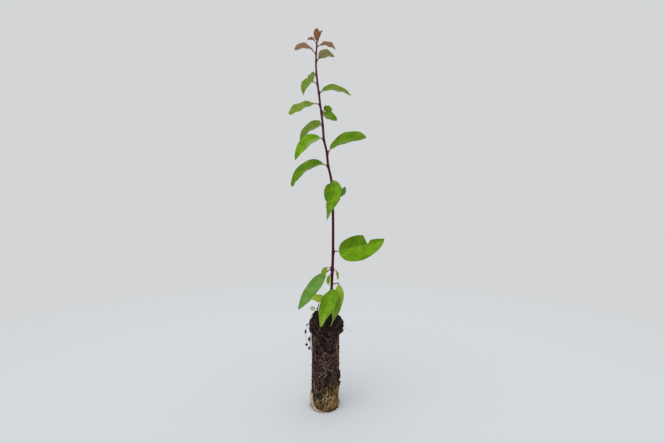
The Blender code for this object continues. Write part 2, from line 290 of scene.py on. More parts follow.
class Palette:
    """A material being mixed: a matt shader and the nodes that colour it."""

    def __init__(self, name: str, roughness: float, gloss: float) -> None:
        """Start a material.

        Args:
            name: The material's name.
            roughness: Its roughness, the same all over.
            gloss: Its specular level, the same all over.
        """
        self.material = bpy.data.materials.new(name)
        self.material.use_nodes = True
        self.tree = self.material.node_tree
        self.shader = self.tree.nodes["Principled BSDF"]
        self.shader.inputs["Roughness"].default_value = roughness
        self.shader.inputs["Specular IOR Level"].default_value = gloss

    def feed(self, socket: Socket, value: object) -> None:
        """Fill a socket.

        Args:
            socket: The socket.
            value: An output to link to it, or a colour, a vector or a number of its own.
        """
        if isinstance(value, Socket):
            self.tree.links.new(value, socket)
        else:
            socket.default_value = (*value, 1.0) if isinstance(value, tuple) else value

    def node(self, kind: str, feeds: Dict[object, object], **settings: object) -> bpy.types.Node:
        """Add a node.

        Args:
            kind: Its type.
            feeds: What its sockets get, by name or place: an output, a colour, a vector or a number.
            settings: Its properties.

        Returns:
            The node.
        """
        made = self.tree.nodes.new(kind)
        for name, value in settings.items():
            setattr(made, name, value)
        for socket, value in feeds.items():
            self.feed(made.inputs[socket], value)
        return made

    def maths(self, operation: str, first: object, second: object = 0.0) -> Socket:
        """One sum on one or two numbers."""
        return self.node("ShaderNodeMath", {0: first, 1: second}, operation=operation).outputs[0]

    def fade(self, value: object, start: float, end: float, low: float = 0.0, high: float = 1.0) -> Socket:
        """Ease a number from low to high as it goes from start to end."""
        feeds = {"Value": value, "From Min": start, "From Max": end, "To Min": low, "To Max": high}
        return self.node("ShaderNodeMapRange", feeds, interpolation_type="SMOOTHSTEP").outputs["Result"]

    def mix(self, share: object, first: object, second: object) -> Socket:
        """Mix two colours by a share."""
        feeds = {"Factor": share, 6: first, 7: second}
        return self.node("ShaderNodeMix", feeds, data_type="RGBA").outputs[2]

    def mark(self, name: str) -> Socket:
        """Read one of the piece's surface marks."""
        return self.node("ShaderNodeAttribute", {}, attribute_name=name).outputs["Fac"]

    def place(self) -> Socket:
        """The piece's own coordinates, in metres."""
        return self.node("ShaderNodeTexCoord", {}).outputs["Object"]

    def height(self) -> Socket:
        """The height above the underside, in metres."""
        return self.node("ShaderNodeSeparateXYZ", {0: self.place()}).outputs["Z"]

    def stretched(self, across: float, along: float) -> Socket:
        """Object coordinates, scaled across and along the plant's height."""
        scale = Vector((across, across, along))
        return self.node("ShaderNodeMapping", {"Vector": self.place(), "Scale": scale}).outputs[0]

    def clouds(self, where: Socket, detail: float, rough: float, warp: float = 0.0) -> Socket:
        """Soft random patches from 0 to 1, one to each unit of the coordinates."""
        feeds = {"Vector": where, "Scale": 1.0, "Detail": detail, "Roughness": rough, "Distortion": warp}
        return self.node("ShaderNodeTexNoise", feeds).outputs["Fac"]

    def cells(self, where: Socket, feature: str = "F1") -> Socket:
        """Distances in a pattern of irregular cells, one to each unit of the coordinates."""
        feeds = {"Vector": where, "Scale": 1.0}
        return self.node("ShaderNodeTexVoronoi", feeds, feature=feature).outputs["Distance"]

    def relief(self, height: Socket, depth: float, strength: float) -> None:
        """Raise the surface's shading by a height pattern, depth in millimetres."""
        feeds = {"Strength": strength, "Distance": depth * MM, "Height": height}
        self.feed(self.shader.inputs["Normal"], self.node("ShaderNodeBump", feeds).outputs["Normal"])

    def colour(self, value: object) -> bpy.types.Material:
        """Set the shader's colour and hand the material over."""
        self.feed(self.shader.inputs["Base Color"], value)
        return self.material


@dataclass(frozen=True)
class LeafFinish:
    """A leaf's colours: its face, blotches that are partly painted highlights, veins, paler back and stalk,
    with painted shade over one half and along the margin.

    A span across the blade runs from 0 at the midrib to 1 at the margin, one along it from 0 at its foot to 1
    at its tip.
    """

    face: Colour
    # Lighter patches, partly the leaf's own mottling and partly painted highlights.
    blotch_and_highlight: Colour
    vein: Colour
    back: Colour
    stalk: Colour
    ripe_tip: Colour = (0.42, 0.50, 0.10)
    roughness: float = 0.62
    gloss: float = 0.10
    blotches_and_highlights: float = 110.0  # to a metre, of mottling and painted highlights
    blotch_and_highlight_span: Span = (0.38, 0.64)  # of the random patches
    net_meshes: float = 1100.0  # to a metre
    net_line: float = 0.12  # of a mesh
    net_strength: float = 0.16
    midrib_span: Span = (0.02, 0.10)  # across
    midrib_fades: Span = (0.7, 1.0)  # along
    side_vein_span: Span = (0.02, 0.13)  # of the distance between two
    side_vein_fades: Span = (0.6, 1.0)  # across
    shaded_half: Span = (-0.25, 0.35)  # across, where the painted shade of one half fades in
    turned_margin: Span = (0.15, 0.60)  # across
    turned_length: Span = (0.40, 0.75)  # along
    ripe_span: Span = (0.66, 1.0)  # along
    # Painted shade along the margin: where it falls across the blade, and how deep it is.
    shaded_rim_span: Span = (0.84, 1.0)  # across
    shaded_rim_depth: float = 0.5
    shade_depth: float = 0.42  # the face's lightness in painted shade

    def material(self, leaf: "Leaf", slant: float) -> bpy.types.Material:
        """Mix the leaf's material.

        Args:
            leaf: The leaf, whose own lightness (partly painted light and shade), painted shade over one half,
                turned margin and ripe tip vary its kind's colours.
            slant: How far each side vein leans towards the tip, in vein spacings.

        Returns:
            The material, which reads the marks along, side, under and stalk.
        """
        pot = Palette(leaf.name, self.roughness, self.gloss)
        # Each leaf's lightness scales its kind's colours: partly its own tone, partly painted light and
        # shade.
        face, blotch_and_highlight, vein, back = (
            tuple(c * leaf.light for c in tone) for tone in (self.face, self.blotch_and_highlight, self.vein, self.back)
        )
        # The face in painted shade, towards which one half and the margin are darkened.
        shaded_face = tuple(self.shade_depth * c for c in face)
        along, left = pot.mark("along"), pot.mark("side")
        right, across = pot.maths("MULTIPLY", left, -1.0), pot.maths("ABSOLUTE", left)
        veins = self.veins(pot, along, across, leaf.pairs, slant)
        # Lighter patches, partly mottling and partly painted highlights.
        patches = pot.clouds(pot.stretched(self.blotches_and_highlights, self.blotches_and_highlights), 3.0, 0.6, 0.4)
        tone = pot.mix(pot.fade(patches, *self.blotch_and_highlight_span), face, blotch_and_highlight)
        # Painted shade over one half of the blade.
        if leaf.shade:
            half = pot.fade(left if leaf.shade > 0 else right, *self.shaded_half, 0.0, abs(leaf.shade))
            tone = pot.mix(half, tone, shaded_face)
        if leaf.turned:
            margin = pot.fade(left if leaf.turned > 0 else right, *self.turned_margin, 0.0, abs(leaf.turned))
            margin = pot.maths("MULTIPLY", margin, pot.fade(along, *self.turned_length, 1.0, 0.0))
            tone = pot.mix(margin, tone, back)
        if leaf.ripe:
            tone = pot.mix(pot.fade(along, *self.ripe_span, 0.0, leaf.ripe), tone, self.ripe_tip)
        # Painted shade darkens the margin.
        tone = pot.mix(pot.fade(across, *self.shaded_rim_span, 0.0, self.shaded_rim_depth), tone, shaded_face)
        tone = pot.mix(veins, tone, vein)
        net = pot.cells(pot.stretched(self.net_meshes, self.net_meshes), "DISTANCE_TO_EDGE")
        tone = pot.mix(pot.fade(net, 0.0, self.net_line, self.net_strength, 0.0), tone, vein)
        under = pot.mix(pot.maths("MULTIPLY", veins, 0.7), back, vein)
        tone = pot.mix(pot.mark("under"), tone, under)
        tone = pot.mix(pot.mark("stalk"), tone, self.stalk)
        pot.relief(net, 0.12, 0.35)
        return pot.colour(tone)

    def veins(self, pot: Palette, along: Socket, across: Socket, pairs: int, slant: float) -> Socket:
        """Draw the midrib, and side veins that curve towards the tip.

        Args:
            pot: The material being mixed.
            along: Share of the way from the blade's foot to its tip.
            across: Share of the way from the midrib to the margin.
            pairs: Pairs of side veins.
            slant: How far each leans towards the tip, in vein spacings.

        Returns:
            How strongly a vein shows, from 0 to 1.
        """
        lean = pot.maths("MULTIPLY", pot.maths("POWER", across, VEIN_CURVE), slant)
        phase = pot.maths("SUBTRACT", pot.maths("MULTIPLY", along, float(pairs)), lean)
        apart = pot.maths("PINGPONG", pot.maths("ADD", phase, 8.0), 0.5)
        side_vein = pot.fade(apart, *self.side_vein_span, 1.0, 0.0)
        side_vein = pot.maths("MULTIPLY", side_vein, pot.fade(across, *self.side_vein_fades, 0.4, 0.1))
        midrib = pot.fade(across, *self.midrib_span, 0.8, 0.0)
        midrib = pot.maths("MULTIPLY", midrib, pot.fade(along, *self.midrib_fades, 1.0, 0.2))
        return pot.maths("MAXIMUM", side_vein, midrib)


@dataclass(frozen=True)
class BarkFinish:
    """Smooth young bark: darker at the foot, purple-red above, greyer with bloom towards the tip."""

    foot: Colour = (0.062, 0.010, 0.008)
    middle: Colour = (0.074, 0.006, 0.011)
    top: Colour = (0.108, 0.024, 0.034)
    bloom: Colour = (0.17, 0.062, 0.075)
    reddening: Span = (0.10, 0.16)  # heights in metres
    greying: Span = (0.22, 0.40)  # heights in metres
    streak_span: Span = (0.52, 0.8)  # of the streaks' pattern
    streak_strength: float = 0.55

    def material(self) -> bpy.types.Material:
        """Mix the bark's material from the height above the underside and fine upright streaks.

        Returns:
            The material.
        """
        pot = Palette("bark", 0.6, 0.06)
        height = pot.height()
        tone = pot.mix(pot.fade(height, *self.reddening), self.foot, self.middle)
        tone = pot.mix(pot.fade(height, *self.greying), tone, self.top)
        streaks = pot.clouds(pot.stretched(1500.0, 90.0), 4.0, 0.6)
        tone = pot.mix(pot.fade(streaks, *self.streak_span, 0.0, self.streak_strength), tone, self.bloom)
        pot.relief(streaks, 0.15, 0.5)
        return pot.colour(tone)


@dataclass(frozen=True)
class PlainFinish:
    """A dull surface of two mingled tones with fine relief, for twigs, buds, lenticels, crumbs and roots."""

    name: str
    tone: Colour
    second: Colour
    grain: float  # patches to a metre across
    stretch: float  # patches to a metre upwards
    roughness: float
    gloss: float = 0.2
    depth: float = 0.15
    span: Span = (0.35, 0.65)  # of the random patches

    def material(self) -> bpy.types.Material:
        """Mix the material from patches in the object's own space.

        Returns:
            The material.
        """
        pot = Palette(self.name, self.roughness, self.gloss)
        patches = pot.clouds(pot.stretched(self.grain, self.stretch), 3.0, 0.6)
        pot.relief(patches, self.depth, 0.5)
        return pot.colour(pot.mix(pot.fade(patches, *self.span), self.tone, self.second))


BUD = PlainFinish("bud", (0.085, 0.030, 0.024), (0.17, 0.095, 0.045), 700.0, 700.0, 0.6)
LENTICEL = PlainFinish("lenticel", (0.20, 0.13, 0.11), (0.28, 0.19, 0.15), 900.0, 900.0, 0.8)
TWIG_BARK = PlainFinish("twig", (0.060, 0.030, 0.022), (0.13, 0.075, 0.05), 900.0, 300.0, 0.7)
CRUMB = PlainFinish("crumb", (0.016, 0.011, 0.010), (0.050, 0.031, 0.025), 500.0, 500.0, 0.95, 0.1, 0.4)
CLINGING_CRUMB = replace(CRUMB, name="clinging_crumb", second=(0.040, 0.026, 0.021))


@dataclass(frozen=True)
class SoilFinish:
    """Crumbly dark peat with redder fibres, and the ochre ground under the mat of roots, darker in the
    hollows of its relief, partly as painted shade.
    """

    # The peat is darker in the hollows of the crumbs' relief and lighter on the crumbs, partly its own tone
    # and partly painted shade and light.
    dark: Colour = (0.0055, 0.0038, 0.0042)
    light: Colour = (0.060, 0.036, 0.032)
    fibre: Colour = (0.20, 0.115, 0.070)
    rust: Colour = (0.17, 0.060, 0.030)
    ochre: Colour = (0.042, 0.020, 0.003)
    light_span: Span = (0.42, 0.60)  # of the crumbs' pattern
    fibre_span: Span = (0.56, 0.74)  # of the fibres' pattern
    ochre_span: Span = (0.3, 0.6)  # of the crumbs' pattern
    strength: float = 0.7  # of the fibres and the rust
    least_ochre: float = 0.35  # its share in the mat's hollows, which stay darker, partly as painted shade

    def material(self) -> bpy.types.Material:
        """Mix the soil's material.

        Returns:
            The material, which reads the marks mat and rust.
        """
        pot = Palette("soil", 0.92, 0.12)
        crumbs = pot.clouds(pot.stretched(300.0, 260.0), 5.0, 0.6)
        fibres = pot.clouds(pot.stretched(900.0, 160.0), 4.0, 0.6, 0.8)
        # The crumbs' pattern also raises the relief, so its hollows are painted darker, partly as painted
        # shade.
        tone = pot.mix(pot.fade(crumbs, *self.light_span), self.dark, self.light)
        tone = pot.mix(pot.fade(fibres, *self.fibre_span, 0.0, self.strength), tone, self.fibre)
        tone = pot.mix(pot.maths("MULTIPLY", pot.mark("rust"), self.strength), tone, self.rust)
        ground = pot.fade(crumbs, *self.ochre_span, self.least_ochre, 1.0)
        tone = pot.mix(pot.maths("MULTIPLY", pot.mark("mat"), ground), tone, self.ochre)
        grit = pot.maths("MULTIPLY", pot.cells(pot.stretched(1500.0, 1500.0)), 0.4)
        pot.relief(pot.maths("ADD", crumbs, grit), 0.9, 0.8)
        return pot.colour(tone)


class Tint(Enum):
    """The kinds of leaf on the shoot, from the youngest at its tip to the oldest at its foot."""

    BRONZE = "leaf_bronze"
    OLIVE = "leaf_olive"
    FRESH = "leaf_fresh"
    MATURE = "leaf_mature"
    DULL = "leaf_dull"
    YELLOWED = "leaf_yellowed"
    PALE = "leaf_pale"


LEAF_FINISHES = {
    Tint.BRONZE: LeafFinish(
        face=(0.315, 0.115, 0.048), blotch_and_highlight=(0.35, 0.165, 0.062), vein=(0.38, 0.19, 0.09),
        back=(0.38, 0.22, 0.12), stalk=(0.17, 0.05, 0.04)),
    Tint.OLIVE: LeafFinish(
        face=(0.225, 0.195, 0.050), blotch_and_highlight=(0.28, 0.225, 0.075), vein=(0.33, 0.28, 0.11),
        back=(0.31, 0.28, 0.12), stalk=(0.14, 0.06, 0.045)),
    Tint.FRESH: LeafFinish(
        face=(0.175, 0.300, 0.014), blotch_and_highlight=(0.250, 0.360, 0.045), vein=(0.30, 0.41, 0.09),
        back=(0.29, 0.36, 0.13), stalk=(0.12, 0.07, 0.04)),
    Tint.MATURE: LeafFinish(
        face=(0.105, 0.245, 0.001), blotch_and_highlight=(0.185, 0.375, 0.004), vein=(0.20, 0.38, 0.022),
        back=(0.25, 0.37, 0.10), stalk=(0.08, 0.04, 0.035)),
    Tint.DULL: LeafFinish(
        face=(0.105, 0.260, 0.030), blotch_and_highlight=(0.165, 0.320, 0.055), vein=(0.22, 0.37, 0.10),
        back=(0.25, 0.34, 0.13), stalk=(0.10, 0.07, 0.04)),
    Tint.YELLOWED: LeafFinish(
        face=(0.290, 0.470, 0.008), blotch_and_highlight=(0.360, 0.500, 0.045), vein=(0.44, 0.54, 0.11),
        back=(0.40, 0.50, 0.17), stalk=(0.12, 0.08, 0.05)),
    Tint.PALE: LeafFinish(
        face=(0.50, 0.53, 0.32), blotch_and_highlight=(0.56, 0.56, 0.40), vein=(0.60, 0.58, 0.42),
        back=(0.52, 0.52, 0.36), stalk=(0.30, 0.24, 0.16)),
}

# ---- Stem ----


@dataclass(frozen=True)
class Course:
    """The stem's middle line and taper, which every leaf is placed by."""

    points: Tuple[Tuple[float, float, float], ...] = (
        (100, 6.0, 0.0), (136, 8.0, 1.0), (178, 9.5, 2.5), (240, 9.0, 2.5), (260, 7.2, 1.5),
        (276, 3.8, 0.5), (290, 2.3, 0.0), (306, -1.1, -0.5), (322, -2.3, -1.0), (354, -6.3, -0.5),
        (388, -10.0, 0.8), (418, -9.2, 2.0),
    )
    taper: Tuple[Span, ...] = (
        (100, 2.5), (102, 2.1), (107, 1.8), (136, 1.6), (207, 1.5), (300, 1.35), (370, 1.15),
        (405, 0.95), (418, 0.65),
    )

    def centre(self, height: float) -> Vector:
        """The stem's middle at a height, on a smooth curve through its points.

        Args:
            height: Height above the underside.

        Returns:
            The point, at that height.
        """
        points = [Vector((right, back, up)) for up, right, back in self.points]
        step = next((i for i in range(len(points) - 2) if height < points[i + 1].z), len(points) - 2)
        start, end = points[step], points[step + 1]
        before, after = points[max(step - 1, 0)], points[min(step + 2, len(points) - 1)]
        span = end.z - start.z
        leaving = (end - before) * (span / (end.z - before.z))
        arriving = (after - start) * (span / (after.z - start.z))
        place = hermite(start, end, leaving, arriving, clamp((height - start.z) / span))
        return Vector((place.x, place.y, height))

    def radius(self, height: float) -> float:
        """The stem's radius at a height."""
        return between(self.taper, height)


COURSE = Course()


@dataclass
class Stem:
    """The stem with its bark's relief, the cushion under each leaf, its buds and lenticels."""

    buds: Sequence[Span]  # height and compass direction of each
    sides: int = 24
    rings: int = 330
    depth_in_soil: float = 3.0
    tip_length: float = 1.2  # over which the tip draws in
    tip_share: float = 0.25  # of the radius that is left at the tip
    cushion: float = 0.75
    cushion_length: float = 2.2
    cushion_drop: float = 0.6  # how far below the bud it stands out most
    cushion_above: float = 0.45  # its length above that place against its length below
    node_ring: float = 0.12  # bulge all round the stem at a bud
    ribs: int = 5
    rib_depth: float = 0.035  # share of the radius
    rib_twist: float = 1.3  # degrees to a millimetre
    bark_depth: float = 0.055
    bud_length: float = 2.0
    bud_radius: float = 0.62
    bud_rise: float = 0.9  # height of its foot above the leaf's
    bud_lean: float = 0.55
    lenticels: int = 170
    lenticel_radius: float = 0.21
    lenticel_heights: Span = (SOIL_HEIGHT + 6, STEM_TIP_HEIGHT - 8)

    def swelling(self, height: float, way: float) -> float:
        """How far the stem bulges at a height and compass direction, below and round its buds.

        Args:
            height: Height above the underside.
            way: Compass direction in degrees.

        Returns:
            The bulge in millimetres.
        """
        bulge = 0.0
        for at, towards in self.buds:
            gap = height - (at - self.cushion_drop)
            if abs(gap) < 4 * self.cushion_length:
                spread = self.cushion_length if gap < 0 else self.cushion_above * self.cushion_length
                most = self.cushion * max(cos(radians(way - towards)), 0.0) ** 2 + self.node_ring
                bulge = max(bulge, exp(-((gap / spread) ** 2)) * most)
        return bulge * min(self.girth(height), 1.0)

    def girth(self, height: float) -> float:
        """The stem's radius at a height against its radius in the middle of the shoot."""
        return COURSE.radius(height) / COURSE.radius(MIDDLE_HEIGHT)

    def surface(self, height: float, way: float) -> Vector:
        """A point of the bark.

        Args:
            height: Height above the underside.
            way: Compass direction in degrees.

        Returns:
            The point.
        """
        radius = COURSE.radius(max(height, SOIL_HEIGHT)) + self.swelling(height, way)
        rib = self.rib_depth * radius * cos(radians(self.ribs * way + self.rib_twist * height))
        point = COURSE.centre(max(height, SOIL_HEIGHT)) + outward(way) * radius
        fine = self.bark_depth * lump(Vector((point.x, point.y, point.z / 5)), 0.7, 5.0)
        fine += 0.5 * self.bark_depth * lump(point, 0.9, 7.0)
        point += outward(way) * (rib + fine)
        point.z = height
        return point

    def build(self) -> None:
        """Make the stem, its buds and its lenticels."""
        self.build_bark()
        self.build_buds()
        self.build_lenticels()

    def build_bark(self) -> None:
        """Roll the bark from below the soil to the tip, where it draws in to a point."""
        low, high = SOIL_HEIGHT - self.depth_in_soil, STEM_TIP_HEIGHT

        def place(turn: float, share: float) -> Vector:
            """The bark's point at a share round and a share up."""
            height = low + (high - low) * share
            point = self.surface(height, 360 * turn)
            if height <= SOIL_HEIGHT:
                return point
            left = self.tip_share + (1 - self.tip_share) * smooth((high - height) / self.tip_length)
            return COURSE.centre(height).lerp(point, left)

        mould = Mould()
        mould.roll(self.sides, self.rings, place)
        solids = ("stem_lower", "stem_middle", "stem_upper")
        mould.finish("bark", BarkFinish().material(), "bark", 60.0, solids)

    def build_buds(self) -> None:
        """Set a small pointed bud in the axil above each leaf's cushion."""
        draw = Random(11)
        mould = Mould()
        for at, way in self.buds:
            size = clamp(self.girth(at), 0.55, 1.1) * draw.uniform(0.85, 1.15)
            length, radius = self.bud_length * size, self.bud_radius * size
            foot = COURSE.centre(at + self.bud_rise) + outward(way) * (COURSE.radius(at) - 0.1)
            axis = (UP + outward(way) * self.bud_lean).normalized()
            level = axis.cross(outward(way + 90)).normalized()
            other = axis.cross(level)

            def place(turn: float, share: float) -> Vector:
                """The bud's point at a share round and a share up."""
                belly = sin(pi * clamp(0.12 + 0.88 * share)) ** 0.8 * (1 - 0.35 * share)
                scale = 1 + 0.10 * cos(6 * pi * turn + 5 * share)
                side = spoke(level, other, turn) * max(radius * belly * scale, 0.04)
                return foot + axis * length * (share - 0.15) + side

            mould.roll(10, 8, place)
        mould.finish("buds", BUD.material(), "bark", 50.0)

    def build_lenticels(self) -> None:
        """Scatter the small pale corky dots of the bark, thickest low on the stem."""
        draw = Random(23)
        mould = Mould()
        low, high = self.lenticel_heights
        for _ in range(self.lenticels):
            height = low + (high - low) * draw.random() ** 1.25
            way = draw.uniform(0, 360)
            size = self.lenticel_radius * draw.uniform(0.55, 1.1) * self.girth(height)
            across, out = outward(way + 90) * 0.55, outward(way) * 0.4
            centre = self.surface(height, way)
            for vert in mould.lump(1.0, 0.12, draw):
                local = vert.co / MM * size
                vert.co = (centre + across * local.x + out * local.y + UP * local.z) * MM
        mould.finish("lenticels", LENTICEL.material(), "bark", 30.0)


@dataclass
class Twig:
    """A short thin twig between two points, bowed downwards."""

    name: str
    start: Vector
    end: Vector
    sag: float
    thick: float
    thin: float
    sides: int = 12
    rings: int = 40
    knots: int = 3
    knot: float = 0.16  # how far a knot stands out, as a share of the radius
    grain: float = 0.10  # the same for the grain

    def build(self) -> None:
        """Roll the twig with a little grain and a blunt tip."""
        along = (self.end - self.start).normalized()
        across = along.orthogonal().normalized()
        other = along.cross(across)

        def place(turn: float, share: float) -> Vector:
            """The twig's point at a share round and a share along."""
            middle = self.start.lerp(self.end, share) - UP * 4 * self.sag * share * (1 - share)
            radius = self.thick + (self.thin - self.thick) * share
            way = spoke(across, other, turn)
            knot = self.knot * exp(-(((share * self.knots) % 1 - 0.5) / 0.09) ** 2)
            return middle + way * radius * (1 + knot + self.grain * lump(middle + way * radius, 0.6, 3.0))

        mould = Mould()
        mould.roll(self.sides, self.rings, place)
        finish = replace(TWIG_BARK, name=self.name)
        mould.finish(self.name + "_bark", finish.material(), "twig", 60.0, [self.name])


# ---- Leaves ----

VEIN_CURVE = 1.35
BLADE_THICKNESS = 0.34
STATION_LENGTH = 0.38  # distance between a blade's cross-sections
STRIP_WIDTH = 0.75  # width of the strips that a cross-section is made of
TOOTH_LENGTH = 1.9
TOOTH_DEPTH = 0.42
TOOTH_RISE = 0.74  # share of a tooth on its long side
SIDE_VEIN_DEPTH = 0.30
MIDRIB_DEPTH = 0.28
MIDRIB_WIDTH = 0.7
RIB_END = 0.93  # share of the blade that the midrib runs along underneath
STALK_INSIDE = 0.06  # share of the stalk's and midrib's rings that are sunk in the bark
STALK_RING = 0.9  # distance between two of those rings
STALK_FADE = 0.3  # share of the blade over which the stalk's colour fades into the midrib's
VEIN_LEAN = 0.42  # how far a side vein runs on towards the tip for each distance it runs out


@dataclass(frozen=True)
class Notch:
    """A bite out of one half of a blade. Side 1 is left of the midrib, looking towards the tip."""

    side: int
    place: float
    depth: float
    breadth: float  # of its near side; its far side is twice as gentle
    beyond: float  # share of the half's width that is left beyond it


@dataclass(frozen=True)
class Leaf:
    """One leaf: where it leaves the stem, its sizes, how its midrib runs and how its blade lies."""

    name: str
    at: float  # height of its bud on the stem
    way: float  # compass direction it leaves in
    stalk: float
    length: float
    width: float
    rise: float  # angle above level at the bud
    bend: float  # how much of that angle it loses on the way to the tip
    power: float = 1.0  # below 1 it bends early, above 1 late
    swing: float = 0.0  # change of compass direction on the way to the tip
    roll: float = 0.0
    fold: float = 10.0  # how far each half is raised above flat, in degrees
    cup: float = 10.0  # how far its margin turns down again
    belly: float = 0.5  # where the blade is widest
    full: float = 1.75  # below 1.75 the blade's ends are blunter
    notch: Optional[Notch] = None
    root: Optional[Tuple[float, float, float]] = None
    tint: Tint = Tint.MATURE
    light: float = 1.0  # how light it is against its kind, partly its own tone and partly painted light and shade
    wave: float = 0.45  # how far its margin ripples up and down
    waves: float = 2.5  # ripples along each margin
    crumple: float = 0.25  # height of its uneven puckers
    shade: float = 0.0  # painted shade: how much darker its left half is, or its right half below 0
    turned: float = 0.0  # how much of its pale back shows near its left margin, or its right below 0
    ripe: float = 0.0  # how far its tip has yellowed
    pairs: int = 7  # pairs of side veins

    def axes(self, share: float) -> Tuple[Vector, Vector, Vector]:
        """Directions of the leaf at a share of the way from bud to tip.

        Args:
            share: 0 at the bud and 1 at the tip.

        Returns:
            Along the midrib, across the blade and out of its upper face.
        """
        lift = radians(self.rise - self.bend * share**self.power)
        heading = radians(self.way + self.swing * share)
        roll = radians(self.roll)
        along = Vector((cos(lift) * cos(heading), cos(lift) * sin(heading), sin(lift)))
        level = Vector((-sin(heading), cos(heading), 0.0))
        upper = along.cross(level)
        return along, level * cos(roll) + upper * sin(roll), upper * cos(roll) - level * sin(roll)

    def half_width(self, side: int, place: float) -> float:
        """Half the blade's width on one side.

        Args:
            side: 1 or -1.
            place: Share of the blade's length.

        Returns:
            The distance from midrib to margin, before the teeth.
        """
        if not 0.0 < place < 1.0:
            return 0.0
        rising, falling = self.full * self.belly, self.full * (1 - self.belly)
        shape = (place / self.belly) ** rising * ((1 - place) / (1 - self.belly)) ** falling
        if self.notch and self.notch.side == side:
            gap = (place - self.notch.place) / self.notch.breadth
            shape *= 1 - self.notch.depth * exp(-((gap if gap < 0 else gap / 2) ** 2))
            shape *= 1 - (1 - self.notch.beyond) * smooth(0.5 + gap)
        return self.width / 2 * shape

    def foot(self) -> Vector:
        """Where its stalk meets the stem's bark, or its own root point."""
        on_bark = COURSE.centre(self.at) + outward(self.way) * (COURSE.radius(self.at) + CLEARANCE)
        return Vector(self.root) if self.root else on_bark


